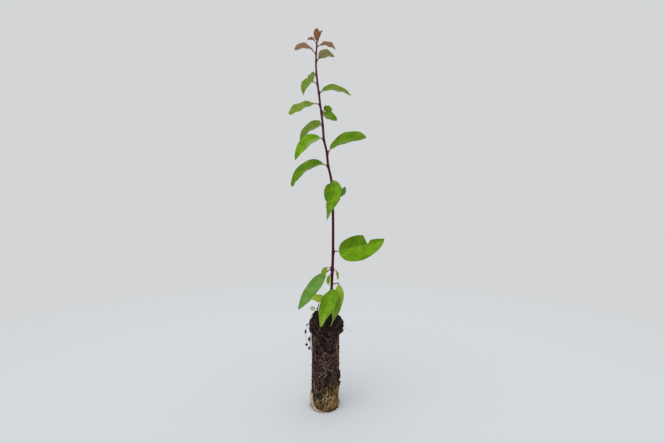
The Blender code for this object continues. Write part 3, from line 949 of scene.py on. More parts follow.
@dataclass
class LeafPiece:
    """The finished mesh of one leaf: toothed blade with sunk veins, midrib and stalk."""

    leaf: Leaf
    mould: Mould = field(default_factory=lambda: Mould("along", "side", "under", "stalk"))
    centres: List[Vector] = field(default_factory=list)
    frames: List[Tuple[Vector, Vector, Vector]] = field(default_factory=list)

    @property
    def total(self) -> float:
        """Length from the bud to the tip."""
        return self.leaf.stalk + self.leaf.length

    def walk(self) -> None:
        """Walk from the bud to the tip in short steps and keep the midrib's places and directions."""
        leaf = self.leaf
        steps = max(round(self.total / STATION_LENGTH), 24)
        centre = leaf.foot() + outward(leaf.way) * PETIOLE_RADIUS * abs(sin(radians(leaf.rise)))
        self.centres, self.frames = [centre], [leaf.axes(0.0)]
        for i in range(steps):
            centre = centre + leaf.axes((i + 0.5) / steps)[0] * (self.total / steps)
            self.centres.append(centre)
            self.frames.append(leaf.axes((i + 1) / steps))

    def station(self, share: float) -> Tuple[Vector, Vector, Vector, Vector]:
        """The midrib's place and directions at a share of the way from bud to tip.

        Args:
            share: 0 at the bud and 1 at the tip.

        Returns:
            The place, then the directions along, across and out of the upper face.
        """
        position = clamp(share) * (len(self.centres) - 1)
        low = min(int(position), len(self.centres) - 2)
        rest = position - low
        centre = self.centres[low].lerp(self.centres[low + 1], rest)
        along, across, upper = (a.lerp(b, rest) for a, b in zip(self.frames[low], self.frames[low + 1]))
        return centre, along, across, upper

    def tooth(self, place: float, side: int) -> float:
        """How far the margin stands out in its forward-pointing teeth.

        Args:
            place: Share of the blade's length.
            side: 1 or -1.

        Returns:
            The distance in millimetres, below 0 between two teeth.
        """
        leaf = self.leaf
        count = max(round(leaf.length / TOOTH_LENGTH), 6)
        beat = place * count + 0.35 * side + 0.30 * sin(9 * place * pi + side)
        part = beat - int(beat)
        if part < TOOTH_RISE:
            shape = sin(pi / 2 * part / TOOTH_RISE)
        else:
            shape = cos(pi / 2 * (part - TOOTH_RISE) / (1 - TOOTH_RISE))
        uneven = 1 + 0.45 * sin(5.3 * int(beat) + 1.7 * side)
        size = TOOTH_DEPTH * clamp(leaf.width / 18, 0.45, 1.15) * uneven
        return size * (shape - 0.6) * smooth(place / 0.10) * smooth((1.0 - place) / 0.06)

    def slant(self) -> float:
        """How far a side vein leans towards the tip on its way to the margin, in vein spacings."""
        return self.leaf.pairs * VEIN_LEAN * self.leaf.width / self.leaf.length

    def pucker(self, place: float, side: float) -> float:
        """Relief of the blade at a place: veins sunk in it, the lamina raised between them.

        Args:
            place: Share of the blade's length.
            side: From -1 to 1 across the blade.

        Returns:
            The height above the plain blade in millimetres.
        """
        leaf = self.leaf
        edge = abs(side)
        scale = clamp(leaf.width / 16, 0.35, 1.2)
        phase = place * leaf.pairs - self.slant() * edge**VEIN_CURVE
        ends = smooth(place / 0.12) * smooth((1 - place) / 0.12)
        sunk = (0.5 + 0.5 * cos(2 * pi * phase)) ** 3 * smooth(edge / 0.15) * (1 - edge**3)
        quilt = -SIDE_VEIN_DEPTH * scale * sunk
        groove = -MIDRIB_DEPTH * scale * exp(-((edge * leaf.width / 2 / MIDRIB_WIDTH) ** 2))
        ripple = leaf.wave * sin(2 * pi * leaf.waves * place + (1.1 if side > 0 else 3.6)) * edge**2
        spot = Vector((place * leaf.length, side * leaf.width / 2, leaf.at))
        bumps = leaf.crumple * lump(spot, 5.5, 1.0) + 0.3 * leaf.crumple * lump(spot, 1.8, 2.0)
        return ends * (quilt + groove + ripple + bumps)

    def point(self, place: float, side: float, depth: float) -> Vector:
        """A point of the blade.

        Args:
            place: Share of the blade's length.
            side: From -1 to 1 across the blade.
            depth: Distance below the upper face.

        Returns:
            The point.
        """
        leaf = self.leaf
        centre, _, across, upper = self.station((leaf.stalk + place * leaf.length) / self.total)
        sign = 1 if side >= 0 else -1
        edge = abs(side)
        widest = max(leaf.half_width(1, place), leaf.half_width(-1, place))
        spread = min(widest / (3 * PETIOLE_RADIUS), 1.0)
        least = 0.8 * PETIOLE_RADIUS if place < 0.5 else 0.12
        reach = max(leaf.half_width(sign, place), least) * edge + self.tooth(place, sign) * edge**6
        tilt = radians(leaf.fold - leaf.cup * edge) * spread
        out = across * (sign * cos(tilt)) + upper * sin(tilt)
        normal = upper * cos(tilt) - across * (sign * sin(tilt))
        thin = 1.0 - 0.45 * edge**4
        height = self.pucker(place, side) + (BLADE_THICKNESS / 2 - depth) * thin
        return centre + out * reach + normal * height

    def build_blade(self) -> None:
        """Lay the blade as a grid, shape it, and give it its thickness and its back."""
        leaf, mould = self.leaf, self.mould
        along = max(round(leaf.length / STATION_LENGTH), 24)
        half = max(round(leaf.width / 2 / STRIP_WIDTH), 4)
        for vert, place, across in mould.grid(along, 2 * half):
            side = 2 * across - 1
            mould.mark(vert, along=place, side=side)
            vert.co = self.point(place, side, 0.0) * MM
        made = bmesh.ops.extrude_face_region(mould.bm, geom=mould.bm.faces[:], use_keep_orig=True)
        for vert in made["geom"]:
            if isinstance(vert, Vert):
                place, side = vert[mould.marks["along"]], vert[mould.marks["side"]]
                vert.co = self.point(place, side, BLADE_THICKNESS) * MM
                mould.mark(vert, under=1.0)

    def build_stalk(self) -> None:
        """Roll the stalk from inside the bark, and the midrib that runs on from it under the blade."""
        leaf = self.leaf
        inner = leaf.foot() - outward(leaf.way) * (CLEARANCE + 0.7)
        start = leaf.stalk / self.total
        end = start + (1 - start) * RIB_END
        girth = PETIOLE_RADIUS * clamp(leaf.width / 10, 0.55, 1.1)

        def place(turn: float, share: float) -> Vector:
            """The stalk's point at a share round and a share along."""
            reach = (1 + STALK_INSIDE) * share - STALK_INSIDE
            going = reach * end
            if reach < 0:
                middle = inner.lerp(self.centres[0], 1 + reach / STALK_INSIDE)
                across, upper = outward(leaf.way + 90), UP
            else:
                middle, _, across, upper = self.station(going)
            on_blade = clamp((going - start) / (1 - start))
            radius = girth * (1 + 0.5 * exp(-max(reach, 0) / 0.03)) * (1 - 0.78 * on_blade**0.7)
            drop = smooth((going - start + 0.03) / 0.05) * (BLADE_THICKNESS / 2 + 0.25 * radius)
            sunk = self.pucker(on_blade, 0.0) if going > start else 0.0
            return middle + upper * (sunk - drop) + spoke(across, upper, turn) * radius

        centre, along, _, _ = self.station(start)
        for vert in self.mould.roll(8, max(round(self.total / STALK_RING), 16), place):
            away = vert.co - centre * MM
            on_blade = away.length / MM / leaf.length if away.dot(along) > 0 else 0.0
            red = 1.0 - 0.9 * smooth(on_blade / STALK_FADE)
            self.mould.mark(vert, under=1.0, stalk=red, along=on_blade)

    def build(self) -> None:
        """Make the leaf's piece, which stands for its solid."""
        leaf = self.leaf
        self.walk()
        self.build_blade()
        self.build_stalk()
        material = LEAF_FINISHES[leaf.tint].material(leaf, self.slant())
        self.mould.finish(leaf.name + "_blade", material, leaf.tint.value, 55.0, [leaf.name])


LEAVES = (
    Leaf("tip_leaf_tall", 418, 95, 1, 16, 7.5, 87, -5, fold=15, belly=0.6, tint=Tint.BRONZE),
    Leaf("tip_leaf_slim", 417, -40, 1, 14, 3, 72, 5, swing=60, roll=50, fold=25, belly=0.55,
         tint=Tint.BRONZE, light=0.6),
    Leaf("tip_leaf_side", 417, 190, 2, 10, 6, 75, 125, fold=25, tint=Tint.BRONZE),
    Leaf("leaf_01_right", 413, 15, 2, 22, 10, 48, 100, fold=15, tint=Tint.BRONZE, light=1.15),
    Leaf("leaf_02_left", 405, 165, 3, 27, 13, 65, 100, fold=20, tint=Tint.BRONZE, light=1.15, turned=0.4),
    Leaf("leaf_03_right", 396, -25, 2, 25, 16, 60, 125, roll=-5, tint=Tint.OLIVE, light=1.1),
    Leaf("leaf_04_left", 380.5, 149, 1, 13, 21, -18, 20, roll=-60, belly=0.45, full=0.8, tint=Tint.FRESH,
         light=0.95, crumple=0.5),
    Leaf("leaf_05_left", 369, 226, 1, 32, 10, 28, 128, power=0.8, roll=-40, fold=15, belly=0.42, full=1.8,
         tint=Tint.FRESH, light=0.92, crumple=0.4, turned=0.6),
    Leaf("leaf_06_right", 359, 25, 3, 40, 15, 60, 84, power=0.5, roll=50, fold=25, tint=Tint.FRESH,
         turned=-0.4),
    Leaf("leaf_07_left", 345, 198, 4, 35, 11.5, 12, 64, power=0.8, roll=-55, belly=0.58, full=1.3,
         tint=Tint.FRESH, light=1.08, wave=0.8, turned=0.4),
    Leaf("leaf_08_right", 336, -20, 1, 20, 11, -28, 10, roll=55, belly=0.4, full=1.4, light=0.8,
         turned=-0.8),
    Leaf("leaf_09_right", 337, 25, 3, 10, 11, 40, 30, roll=60, full=1.1, light=0.82),
    Leaf("leaf_10_left", 322, 158, 1, 34, 14.5, 6, 84, power=1.1, roll=-64, fold=25, belly=0.34, full=0.9,
         tint=Tint.FRESH, light=0.9, turned=0.7),
    Leaf("leaf_11_left", 305, 219, 4, 47, 13, 48, 117, power=0.38, roll=-50, fold=20, belly=0.36,
         full=1.3, light=1.25, turned=0.9),
    Leaf("leaf_12_right", 290, -20, 4, 46, 19, 73, 90, power=0.6, roll=55, fold=15, full=1.45, light=0.86,
         turned=-0.6),
    Leaf("leaf_13_left", 275, 153, 5, 54, 22, 37, 104, power=0.7, roll=-55, fold=20, belly=0.62, full=1.3,
         light=0.9, turned=0.6),
    Leaf("leaf_14_front", 258.5, 304, 1, 57, 17, -2, 75, power=0.4, swing=-120, belly=0.68, full=0.9,
         shade=-0.3, light=1.08),
    Leaf("leaf_15_front", 255.5, 278, 1, 24, 19, -68, 14, belly=0.55, full=0.65, light=1.06, crumple=0.6,
         shade=0.5),
    Leaf("leaf_16_right", 241, 10, 5.5, 13, 8, -5, -90, roll=60, belly=0.32, full=1.3, tint=Tint.DULL),
    Leaf("leaf_17_right", 176, -10, 5, 54, 31, 9, -18, power=2.0, roll=65, fold=8, belly=0.38, full=1.25,
         notch=Notch(1, 0.63, 0.8, 0.027, 0.5), shade=0.5, light=1.15),
    Leaf("leaf_18_left", 157, 205, 4, 13, 6.5, 50, 165, power=0.7, roll=-40, tint=Tint.YELLOWED, light=0.75),
    Leaf("leaf_19_left", 150.5, 215, 1.5, 12, 4.5, -25, 75, power=0.5, roll=-40, tint=Tint.YELLOWED,
         light=0.75),
    Leaf("leaf_20_left", 156, 182, 8, 52, 16, -20, 39, power=0.25, roll=-55, belly=0.42, full=1.3,
         tint=Tint.DULL, light=1.12),
    Leaf("leaf_21_right", 155.5, 28, 2.5, 12, 4, -5, 95, power=0.5, roll=70, tint=Tint.YELLOWED,
         light=0.7),
    Leaf("leaf_22_front", 0, 285, 1, 48, 14, -56, 14, swing=-90, roll=16, belly=0.48, full=1.4,
         root=(15.6, -3.0, 140.0), tint=Tint.FRESH, ripe=0.9, shade=0.2, light=1.48),
    Leaf("leaf_23_front", 134, 275, 2, 50, 21.5, -10, 68, swing=-64, roll=10, belly=0.52, full=1.3,
         ripe=0.4, shade=-0.4, light=1.18),
    Leaf("leaf_24_left", 122, 209, 4, 19.5, 11, 14, 14, roll=-40, tint=Tint.YELLOWED, light=0.95),
    Leaf("leaf_25_basal", 0, 190, 1, 6.5, 5.5, 0, 0, roll=-60, root=(-9.8, 1.6, 110.5), tint=Tint.PALE,
         light=1.2),
)


# ---- Root ball ----


@dataclass(frozen=True)
class BallShape:
    """The plug's form: a round wall on a flat underside, an overhanging crust and its heaped top."""

    base_radius: float = 15.0
    waist_radius: float = 15.4
    waist_height: float = 45.0
    crust_radius: float = 18.7
    crust_height: float = 82.0
    crust_depth: float = 4.0
    wall_lean: float = 0.9
    crust_shift: float = 1.7
    mound_height: float = 7.5
    mound_spread: float = 5.5
    mound_place: Span = (-9.0, 3.0)
    bare_radius: float = 4.0  # of the level ring round the stem
    relief: float = 0.55
    bulges: Span = (9.0, 3.5)  # sizes of the wall's bulges
    crumbs: Tuple[float, float, float] = (2.1, 1.25, 0.7)

    def radius(self, height: float) -> float:
        """The wall's mean radius.

        Args:
            height: Height above the underside.

        Returns:
            The radius at that height.
        """
        base, waist, crust = self.base_radius, self.waist_radius, self.crust_radius
        return between((
            (0, base), (1.5, base + 0.4), (self.waist_height, waist), (self.crust_height, waist),
            (self.lip, crust), (SOIL_HEIGHT - 3, crust), (SOIL_HEIGHT - 0.6, crust - 1.4),
        ), height)

    @property
    def lip(self) -> float:
        """The height at which the crust is at its widest."""
        return self.crust_height + self.crust_depth

    def shift(self, height: float) -> float:
        """How far the wall leans out to the right at a height."""
        lean = (self.waist_height, self.wall_lean), (self.crust_height, self.wall_lean)
        return between(((0, 0), *lean, (self.lip, self.crust_shift)), height)

    def wall(self, way: float, height: float, lift: float = 0.0, fine: float = 1.0) -> Vector:
        """A point on or over the wall.

        Args:
            way: Compass direction in degrees.
            height: Height above the underside.
            lift: Distance out from the surface.
            fine: How much of the crumbly fine relief it follows, from 0 to 1.

        Returns:
            The point.
        """
        radius = self.radius(height)
        point = outward(way) * radius + UP * height
        rough = self.relief * clamp(height / 3.0)
        bulge = rough * (lump(point, self.bulges[0], 1.0) + 0.7 * lump(point, self.bulges[1], 2.0))
        large, medium, small = self.crumbs
        crumbs = 0.55 * lump(point, large, 8.0) + 0.45 * abs(lump(point, medium, 9.0))
        crumbs += 0.2 * lump(point, small, 6.0)
        bulge += fine * clamp(height / 1.2) * (crumbs - 0.15)
        return point + outward(way) * (bulge + lift) + Vector((self.shift(height), 0.0, 0.0))

    def front(self, right: float, height: float, lift: float) -> Vector:
        """The point of the front wall at a distance right of the middle.

        Args:
            right: Distance right of the middle.
            height: Height above the underside.
            lift: Distance out from the surface.

        Returns:
            The point.
        """
        share = clamp((right - self.shift(height)) / (self.radius(height) + 0.5), -1.0, 1.0)
        return self.wall(-degrees(acos(share)), height, lift, 0.6)

    def top(self, right: float, back: float) -> float:
        """Height of the soil surface.

        Args:
            right: Distance right of the middle.
            back: Distance behind the middle.

        Returns:
            The height.
        """
        foot = COURSE.centre(SOIL_HEIGHT)
        away = sqrt((right - foot.x) ** 2 + (back - foot.y) ** 2)
        rough = clamp((away - self.bare_radius) / self.bare_radius)
        heap = sqrt((right - self.mound_place[0]) ** 2 + (back - self.mound_place[1]) ** 2)
        lift = self.mound_height * exp(-((heap / self.mound_spread) ** 2))
        spot = Vector((right, back, 0.0))
        bulge = self.relief * lump(spot, 5.0, 4.0)
        crumbs = 0.8 * lump(spot, 2.0, 3.0) + 0.5 * lump(spot, 0.9, 5.0)
        return SOIL_HEIGHT + rough * (lift + bulge) + clamp((away - 2.2) / 2) * crumbs


BALL = BallShape()


@dataclass
class RootBall:
    """The plug of peat: its crumbly body, loose crumbs bound on its surface, and its roots."""

    around: int = 150
    wall_rings: int = 120
    top_rings: int = 34
    crumbs: int = 1500
    crust_crumbs: int = 900
    crumb_radii: Span = (0.30, 0.75)
    crust_growth: float = 1.35  # how much bigger the crust's crumbs are
    top_share: float = 0.5  # of the crust's crumbs
    wall_heights: Span = (3, 92)
    crust_heights: Span = (82, 99)
    rim_drop: float = 1.0  # how far below the soil's surface the wall ends
    rust_way: float = -22.0  # compass direction of the rusty strip
    rust_breadth: float = 11.0
    rust_heights: Span = (48, 86)
    mat_way: float = -32.0  # compass direction of the mat's middle
    mat_reach: float = 68.0  # degrees to each side of it
    mat_height: float = 26.0
    mat_rim: float = 8.5  # height of the mat on the rest of the wall

    def build(self) -> None:
        """Make the body, the crumbs and the roots."""
        self.build_body()
        self.build_crumbs()
        Roots().build()

    def build_body(self) -> None:
        """Roll the wall from the underside to the rim, then on over the top to the stem's foot."""
        rim_height = SOIL_HEIGHT - self.rim_drop
        share_of_wall = self.wall_rings / (self.wall_rings + self.top_rings)
        foot = COURSE.centre(SOIL_HEIGHT)

        def place(turn: float, share: float) -> Vector:
            """The ball's point at a share round and a share up the wall and over the top."""
            way = 360 * turn
            if share <= share_of_wall:
                return BALL.wall(way, rim_height * share / share_of_wall)
            away = 1 - (share - share_of_wall) / (1 - share_of_wall)
            rim = BALL.wall(way, rim_height)
            right = foot.x + (rim.x - foot.x) * max(away, 0.02)
            back = foot.y + (rim.y - foot.y) * max(away, 0.02)
            level = BALL.top(right, back)
            return Vector((right, back, rim.z + (level - rim.z) * smooth((1 - away) / 0.12)))

        mould = Mould("mat", "rust")
        for vert in mould.roll(self.around, self.wall_rings + self.top_rings, place):
            point = vert.co / MM
            aside = (degrees(atan2(point.y, point.x)) - self.rust_way) / self.rust_breadth
            low, high = self.rust_heights
            strip = exp(-(aside**2)) * smooth((point.z - low) / 6) * smooth((high - point.z) / 5)
            mould.mark(vert, mat=self.matted(point), rust=strip)
        mould.finish("peat", SoilFinish().material(), "soil", 75.0, ["root_ball"])

    def matted(self, point: Vector) -> float:
        """How thickly the ochre mat of roots covers a point of the wall.

        Args:
            point: The point in millimetres.

        Returns:
            From 0 for bare peat to 1 inside the mat.
        """
        way = degrees(atan2(point.y, point.x))
        aside = (self.mat_reach - abs(way - self.mat_way)) / 30.0
        corner = smooth((self.mat_height - point.z) / 7.0) * smooth(aside)
        rim = smooth((self.mat_rim - point.z) / 5.0)
        ragged = 0.35 * lump(point, 6.0, 2.0)
        return clamp(max(corner, 0.8 * rim) + ragged * (1 if corner + rim > 0.15 else 0))

    def build_crumbs(self) -> None:
        """Scatter crumbs of peat, each sunk half into the wall, the crust or the top."""
        draw = Random(41)
        mould = Mould()
        for i in range(self.crumbs + self.crust_crumbs):
            on_crust = i >= self.crumbs
            size = draw.uniform(*self.crumb_radii) * (self.crust_growth if on_crust else 1.0)
            way = draw.uniform(-180, 180)
            if on_crust and draw.random() < self.top_share:
                reach = sqrt(draw.random()) * 0.97
                rim = BALL.wall(way, SOIL_HEIGHT - self.rim_drop, 0.0, 0.0)
                spot = COURSE.centre(SOIL_HEIGHT).lerp(rim, clamp(reach, 0.16, 1.0))
                centre = Vector((spot.x, spot.y, BALL.top(spot.x, spot.y) + 0.1 * size))
            else:
                height = draw.uniform(*(self.crust_heights if on_crust else self.wall_heights))
                centre = BALL.wall(way, height, 0.15 * size)
            self.drop_crumb(mould, draw, centre, size)
        for height, way, size in self.ragged_edge(draw):
            self.drop_crumb(mould, draw, BALL.wall(way, height, 0.45 * size), size)
        mould.finish("crumbs", CRUMB.material(), "soil", 25.0)

    @staticmethod
    def ragged_edge(draw: Random) -> List[Tuple[float, float, float]]:
        """Place bigger crumbs low on the right of the wall, on the rim and round the crust.

        Args:
            draw: Source of their places and sizes.

        Returns:
            The height, compass direction and size of each.
        """
        patches = (
            (34, (24, 40), (-26, 12), (0.9, 1.7)),
            (30, (1.2, 2.6), (-80, -20), (0.5, 1.1)),
            (80, (83, 96), (-180, 180), (0.8, 1.5)),
        )
        return [
            tuple(draw.uniform(*span) for span in spans) for count, *spans in patches for _ in range(count)
        ]

    @staticmethod
    def drop_crumb(mould: Mould, draw: Random, centre: Vector, size: float) -> None:
        """Put one angular crumb at a place.

        Args:
            mould: The mould it is added to.
            draw: Source of its irregularity.
            centre: Its middle, in millimetres.
            size: Its radius.
        """
        verts = mould.lump(size, 0.28, draw)
        flat = Vector((draw.uniform(0.7, 1.2), draw.uniform(0.7, 1.2), draw.uniform(0.6, 1.1)))
        for vert in verts:
            vert.co = vert.co * flat + centre * MM


class RootKind(Enum):
    """The roots that show on the plug, by colour."""

    CREAM = PlainFinish("root_cream", (0.50, 0.39, 0.23), (0.70, 0.58, 0.40), 500.0, 120.0, 0.6)
    TAN = PlainFinish("root_tan", (0.22, 0.135, 0.085), (0.46, 0.32, 0.21), 500.0, 120.0, 0.7)
    BROWN = PlainFinish("root_brown", (0.080, 0.038, 0.023), (0.18, 0.098, 0.058), 500.0, 120.0, 0.75)
    OCHRE = PlainFinish("root_ochre", (0.19, 0.100, 0.020), (0.44, 0.27, 0.085), 500.0, 120.0, 0.65)


# Roots that stand out on the front: kind, radius, and points (right of the middle, height).
FRONT_ROOTS = (
    (RootKind.CREAM, 0.26, ((-3.8, 48.2), (-1.0, 49.4), (1.7, 46.5), (0.5, 43.7), (-2.6, 42.2), (-5.3, 39.4),
                            (-7.2, 37.1))),
    (RootKind.TAN, 0.24, ((-8.1, 56.6), (-4.5, 56.9), (-1.2, 55.7), (4.0, 55.6), (8.8, 55.2), (11.0, 54.0))),
    (RootKind.CREAM, 0.22, ((4.5, 43.0), (2.4, 41.5), (0.4, 39.0), (-1.5, 36.0))),
    (RootKind.CREAM, 0.24, ((10.3, 41.3), (12.0, 42.6), (14.6, 42.0))),
    (RootKind.CREAM, 0.30, ((1.4, 29.4), (3.4, 23.3), (2.6, 18.0), (2.4, 11.4), (3.6, 5.8))),
    (RootKind.OCHRE, 0.30, ((4.6, 27.0), (6.2, 21.5), (5.4, 16.0), (8.0, 12.0))),
    (RootKind.CREAM, 0.42, ((11.6, 16.8), (8.8, 11.4), (5.2, 8.0), (3.0, 1.0))),
    (RootKind.CREAM, 0.30, ((-7.2, 14.5), (-3.9, 12.6), (-1.3, 14.5), (0.4, 18.0))),
    (RootKind.TAN, 0.26, ((-8.5, 84.0), (-10.2, 80.4), (-11.6, 76.0), (-12.1, 70.9))),
    (RootKind.CREAM, 0.24, ((5.8, 74.8), (7.4, 71.4))),
    (RootKind.OCHRE, 0.26, ((6.9, 88.0), (5.0, 86.4), (2.4, 84.8))),
    (RootKind.TAN, 0.26, ((-9.8, 66.0), (-11.4, 60.0), (-9.5, 55.6), (-5.6, 52.0))),
    (RootKind.TAN, 0.26, ((3.0, 67.6), (0.6, 65.0), (-2.0, 61.8), (-4.6, 57.8))),
    (RootKind.TAN, 0.22, ((-2.6, 67.2), (0.4, 65.6), (3.4, 63.0), (1.2, 59.6))),
    (RootKind.TAN, 0.30, ((-12.2, 36.0), (-11.6, 30.0), (-11.0, 22.0), (-9.4, 17.0))),
    (RootKind.TAN, 0.24, ((-9.0, 45.0), (-10.4, 40.0), (-9.2, 35.4))),
    (RootKind.OCHRE, 0.28, ((-9.6, 90.0), (-6.8, 86.8), (-3.4, 86.0), (-0.4, 87.6))),
)

# Roots that hang clear of the wall on its left: kind, radius, distance off it, and points as above.
LOOSE_ROOTS = (
    (RootKind.TAN, 0.26, 1.2, ((-14.8, 83.0), (-15.4, 76.0), (-15.0, 68.0), (-13.6, 61.0))),
    (RootKind.TAN, 0.20, 0.7, ((-13.0, 84.0), (-13.8, 75.0), (-13.2, 66.0), (-12.0, 60.0))),
    (RootKind.BROWN, 0.28, 1.7, ((-14.6, 84.0), (-15.6, 78.0), (-15.4, 70.0), (-14.2, 58.0))),
    (RootKind.BROWN, 0.24, 0.9, ((-11.8, 84.0), (-12.9, 76.0), (-13.8, 66.0), (-13.0, 57.0))),
)

# Long hairs on the right of the crust: height, reach to the right and rise.
LONG_HAIRS = ((97, 16, -9), (92, 19, -12), (90, 12, -3))

# The two hairs on the left that hold crumbs, and those crumbs: right of the middle, height, radius and how
# much taller than wide each is.
CLINGING_ROOTS = (
    ((-15.6, -6.0, 96.5), (-19.6, -6.5, 94.0), (-21.6, -6.5, 86.0), (-20.6, -6.5, 78.0), (-20.2, -6.0, 71.5),
     (-17.6, -5.0, 67.0), (-13.0, -4.0, 62.0)),
    ((-15.2, -5.0, 84.0), (-17.6, -5.5, 78.0), (-17.4, -5.0, 70.0), (-13.2, -4.0, 64.0)),
)
CLINGING_CRUMBS = (
    (-19.8, 93.8, 1.0, 1.0), (-21.6, 86.2, 1.05, 2.4), (-17.6, 77.8, 1.25, 1.9), (-20.4, 71.6, 1.4, 1.1),
    (-17.4, 67.5, 1.15, 1.7),
)


@dataclass(frozen=True)
class Habit:
    """How some of the roots that wander over the wall grow, as the limits that each is drawn between."""

    kind: RootKind
    count: int
    heights: Span  # of its start
    lengths: Span
    radii: Span
    upright: float  # how far it keeps to the vertical, from 0 to 1


@dataclass
class Roots:
    """The roots that bind the plug: seeded ones all round it, and the few that stand out in front."""

    draw: Random = field(default_factory=lambda: Random(67))
    tan: Habit = Habit(RootKind.TAN, 165, (2, 84), (6, 22), (0.11, 0.25), 0.45)
    brown: Habit = Habit(RootKind.BROWN, 105, (2, 88), (8, 28), (0.14, 0.28), 0.75)
    cream: Habit = Habit(RootKind.CREAM, 26, (1, 16), (5, 14), (0.12, 0.30), 0.2)
    mat_count: int = 230
    wrap_count: int = 12
    wrap_steps: int = 24
    fringe_count: int = 110
    fringe_kinds: Tuple[RootKind, ...] = (RootKind.OCHRE, RootKind.TAN, RootKind.BROWN)
    hair_count: int = 60
    step: float = 0.7
    ends_sunk: float = -0.5  # how far off the wall a root's two ends lie
    hair_sunk: float = -0.4  # the same for a hair's foot
    hair_radii: Span = (0.085, 0.05)
    long_radii: Span = (0.10, 0.06)
    clinging_radii: Span = (0.18, 0.14)
    clinging_back: float = -6.0
    highest: float = 97.0

    def build(self) -> None:
        """Make one piece for each colour of root, then the hairs and the crumbs that hang on them."""
        bundles = {kind: [] for kind in RootKind}
        for kind, radius, route in FRONT_ROOTS:
            bundles[kind].append(self.front_root(route, radius, 0.55 * radius))
        for kind, radius, lift, route in LOOSE_ROOTS:
            bundles[kind].append(self.front_root(route, radius, lift))
        for _ in range(self.wrap_count):
            bundles[RootKind.CREAM].append(self.wrap_root())
        for _ in range(self.fringe_count):
            bundles[self.draw.choice(self.fringe_kinds)].append(self.fringe_root())
        for habit in (self.tan, self.brown):
            bundles[habit.kind] += [self.wanderer(habit) for _ in range(habit.count)]
        bundles[RootKind.OCHRE] += [self.mat_root() for _ in range(self.mat_count)]
        bundles[RootKind.CREAM] += [self.wanderer(self.cream) for _ in range(self.cream.count)]
        for kind, strands in bundles.items():
            self.finish(kind.value.name, strands, kind)
        self.build_hairs()
        self.build_clinging()

    @staticmethod
    def finish(name: str, strands: Sequence[Strand], kind: RootKind, sides: int = 6) -> None:
        """Make some strands into one piece of the root ball.

        Args:
            name: The piece's name.
            strands: Its strands.
            kind: Their colour.
            sides: Sides of each.
        """
        mould = Mould()
        mould.tubes(strands, sides)
        mould.finish(name, kind.value.material(), "soil", 60.0)

    def front_root(self, route: Sequence[Span], radius: float, lift: float) -> Strand:
        """Lay one of the roots that stand out, its two ends sunk into the peat.

        Args:
            route: Its points, right of the middle and height.
            radius: Its radius.
            lift: How far its middle line lies off the wall.

        Returns:
            The strand.
        """
        lifts = [self.ends_sunk, *[lift] * (len(route) - 2), self.ends_sunk]
        points = [BALL.front(right, height, off) for (right, height), off in zip(route, lifts)]
        return Strand(curve_through(points, self.step), radius, 0.6 * radius)

    def wrap_root(self) -> Strand:
        """Lay one of the thick pale roots that sweep down the left of the wall and in under its front rim.

        Returns:
            The strand.
        """
        draw = self.draw
        start, sweep = draw.uniform(-176, -146), draw.uniform(38, 74)
        top, radius, bulge = draw.uniform(10, 19), draw.uniform(0.32, 0.62), draw.uniform(0.5, 2.2)
        route = []
        for i in range(self.wrap_steps + 1):
            share = i / self.wrap_steps
            height = 0.5 + radius + top * (1 - share) ** 1.7
            lift = bulge * sin(pi * share) + radius * (0.6 - 2.4 * (2 * share - 1) ** 8)
            route.append(BALL.wall(start + sweep * share**1.6, height, lift, 0.3))
        return Strand(route, radius, 0.6 * radius)

    def fringe_root(self) -> Strand:
        """Let one short root stand out of the bottom rim and droop to the ground.

        Returns:
            The strand.
        """
        draw = self.draw
        way, height = draw.uniform(-180, 180), draw.uniform(1.0, 4.5)
        lean, reach = way + draw.uniform(-60, 60), 0.8 + 3.2 * draw.random() ** 2
        start = BALL.wall(way, height, self.hair_sunk)
        end = start + outward(lean) * reach
        middle = start.lerp(end, 0.6) + UP * draw.uniform(-0.4, 0.5)
        end.z = max(height - draw.uniform(0.5, 3.5), 0.35)
        return Strand(curve_through([start, middle, end], self.step), draw.uniform(0.16, 0.34), 0.12)

    def wanderer(self, habit: Habit) -> Strand:
        """Let one root wander over the wall.

        Args:
            habit: How it grows.

        Returns:
            The strand.
        """
        way, height = self.draw.uniform(-180, 180), self.draw.uniform(*habit.heights)
        length, radius = self.draw.uniform(*habit.lengths), self.draw.uniform(*habit.radii)
        return self.crawl(way, height, length, radius, habit.upright)

    def mat_root(self) -> Strand:
        """Start one root of the ochre mat, low on the right or round the bottom rim.

        Returns:
            The strand.
        """
        draw = self.draw
        if draw.random() < 0.7:
            way, height = draw.uniform(-84, 24), 23 * draw.random() ** 1.2 + 1
        else:
            way, height = draw.uniform(-180, 180), draw.uniform(0.8, 6)
        return self.crawl(way, height, draw.uniform(6, 18), draw.uniform(0.14, 0.32), 0.3)

    def crawl(self, way: float, height: float, length: float, radius: float, upright: float) -> Strand:
        """Walk a root over the wall from a start, turning at random.

        Args:
            way: Compass direction of its start.
            height: Height of its start.
            length: How long it is.
            radius: Its radius at the start.
            upright: How far it keeps to the vertical, from 0 to 1.

        Returns:
            The strand.
        """
        draw = self.draw
        heading = draw.choice((90.0, -90.0)) + draw.gauss(0, 90 * (1 - upright))
        turning = draw.gauss(0, 5)
        count = max(round(length / self.step), 5)
        route = []
        for i in range(count + 1):
            share = i / count
            lift = radius * (0.8 - 3.2 * (2 * share - 1) ** 6)
            if not 0.5 + radius <= height <= self.highest:
                heading = -heading
                height = clamp(height, 0.5 + radius, self.highest)
            route.append(BALL.wall(way, height, lift, 0.75))
            heading += turning + draw.gauss(0, 13)
            turning = 0.9 * turning + draw.gauss(0, 2.4)
            way += degrees(cos(radians(heading)) * self.step / BALL.radius(height))
            height += sin(radians(heading)) * self.step
        return Strand(route, radius, 0.55 * radius)

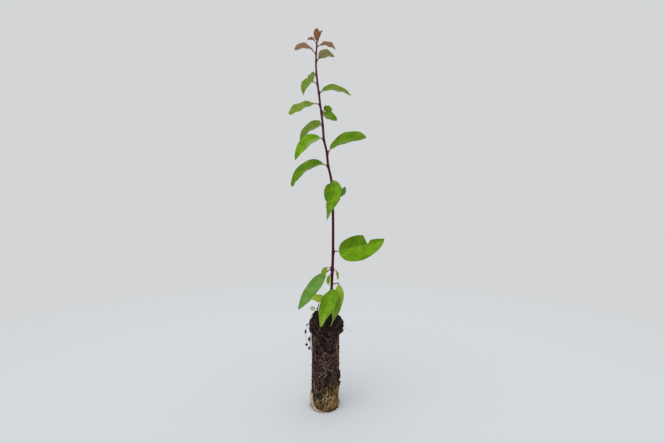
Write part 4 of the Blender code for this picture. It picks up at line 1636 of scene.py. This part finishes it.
    def build_hairs(self) -> None:
        """Make the fine hairs that stand off the plug, with a few long ones on the right of its crust."""
        draw, hairs = self.draw, []
        for _ in range(self.hair_count):
            way, height = draw.uniform(-180, 180), draw.uniform(6, 97)
            reach = draw.uniform(1.5, 5.0)
            start = BALL.wall(way, height, self.hair_sunk)
            lean = outward(way + draw.uniform(-50, 50)) + UP * draw.uniform(-0.8, 0.4)
            middle = start + lean * reach * 0.55 + Vector((0, 0, draw.uniform(-0.6, 0.6)))
            end = start + lean * reach + UP * draw.uniform(-2.0, 0.6)
            hairs.append(Strand(curve_through([start, middle, end], self.step), *self.hair_radii))
        for at, reach, drop in LONG_HAIRS:
            start = BALL.wall(-12, at, self.ends_sunk)
            points = [start, start + Vector((reach * 0.4, -2, drop * 0.3)), start + Vector((reach, -4, drop))]
            hairs.append(Strand(curve_through(points, 1.0), *self.long_radii))
        self.finish("root_hairs", hairs, RootKind.CREAM, 4)

    def build_clinging(self) -> None:
        """Hang two hairs down the left side with the crumbs that they hold."""
        routes = [[Vector(point) for point in route] for route in CLINGING_ROOTS]
        strands = [Strand(curve_through(route, 1.0), *self.clinging_radii) for route in routes]
        self.finish("clinging_roots", strands, RootKind.BROWN)
        mould = Mould()
        for right, height, size, tall in CLINGING_CRUMBS:
            centre = Vector((right, self.clinging_back, height))
            for vert in mould.lump(size, 0.22, self.draw, 2):
                vert.co = vert.co * Vector((1.0, 1.0, tall)) + centre * MM
        mould.finish("clinging_crumbs", CLINGING_CRUMB.material(), "soil", 25.0)


# ---- Studio ----


@dataclass
class Studio:
    """A plain pale floor that fades into the surround, soft light and a level camera in front."""

    floor_size: float = 8.0
    floor_tone: Colour = (0.80, 0.83, 0.855)
    floor_fade: Span = (0.25, 0.95)  # metres from the plant
    sky_tone: Colour = (0.655, 0.665, 0.675)
    key_strength: float = 0.66
    key_spread: float = 50.0
    key_place: Tuple[float, float, float] = (-0.5, -0.7, 1.5)
    camera_place: Tuple[float, float, float] = (0.0089, -0.385, 0.2108)
    sensor_width: float = 36.0
    frame_width: float = 665.0
    focal_pixels: float = 335.0
    nearest: float = 0.01

    def build(self) -> None:
        """Make the floor, the light and the camera."""
        self.build_floor()
        self.build_light()
        self.build_camera()

    def build_floor(self) -> None:
        """Lay the floor that the plant stands on."""
        bm = bmesh.new()
        bmesh.ops.create_grid(bm, x_segments=1, y_segments=1, size=self.floor_size / 2)
        mesh = bpy.data.meshes.new("floor")
        bm.to_mesh(mesh)
        bm.free()
        pot = Palette("floor", 0.9, 0.0)
        away = pot.node("ShaderNodeVectorMath", {0: pot.place()}, operation="LENGTH")
        far = pot.fade(away.outputs["Value"], *self.floor_fade)
        pot.feed(pot.shader.inputs["Emission Color"], pot.mix(far, BLACK, self.sky_tone))
        pot.shader.inputs["Emission Strength"].default_value = 1.0
        mesh.materials.append(pot.colour(pot.mix(far, self.floor_tone, BLACK)))
        floor = bpy.data.objects.new("floor", mesh)
        bpy.context.scene.collection.objects.link(floor)

    def build_light(self) -> None:
        """Light the plant from a pale surround and one broad soft light above its front left."""
        world = bpy.data.worlds.new("surround")
        world.use_nodes = True
        surround = world.node_tree.nodes["Background"]
        surround.inputs["Color"].default_value = (*self.sky_tone, 1.0)
        surround.inputs["Strength"].default_value = 1.0
        bpy.context.scene.world = world
        key = bpy.data.lights.new("key", "SUN")
        key.energy, key.angle = self.key_strength, radians(self.key_spread)
        lamp = bpy.data.objects.new("key", key)
        lamp.location = self.key_place
        lamp.rotation_euler = lamp.location.to_track_quat("Z", "Y").to_euler()
        bpy.context.scene.collection.objects.link(lamp)

    def build_camera(self) -> None:
        """Set the level camera, whose lens follows from its focal length in pixels."""
        data = bpy.data.cameras.new("camera")
        data.sensor_width = self.sensor_width
        data.lens = self.sensor_width * self.focal_pixels / self.frame_width
        data.clip_start = self.nearest
        camera = bpy.data.objects.new("camera", data)
        camera.location = self.camera_place
        camera.rotation_euler = (pi / 2, 0.0, 0.0)
        bpy.context.scene.collection.objects.link(camera)
        bpy.context.scene.camera = camera
        bpy.context.scene.view_settings.view_transform = "Standard"


def main() -> None:
    """Build the studio, the root ball, the stem with its twigs, and the leaves."""
    Studio().build()
    RootBall().build()
    Stem([(leaf.at, leaf.way) for leaf in LEAVES if not leaf.root]).build()
    bud = COURSE.centre(139) + outward(-28) * (COURSE.radius(139) - 0.4)
    Twig("low_twig", bud, Vector((15.0, -3.0, 141.0)), 0.4, 0.65, 0.45).build()
    Twig("basal_twig", Vector((-9.3, 2.0, BALL.top(-9.3, 2.0) - 0.8)), Vector((-6.5, 0.0, 117.0)), -0.4, 0.65,
         0.45).build()
    for leaf in LEAVES:
        LeafPiece(leaf).build()


if __name__ == "__main__":
    main()
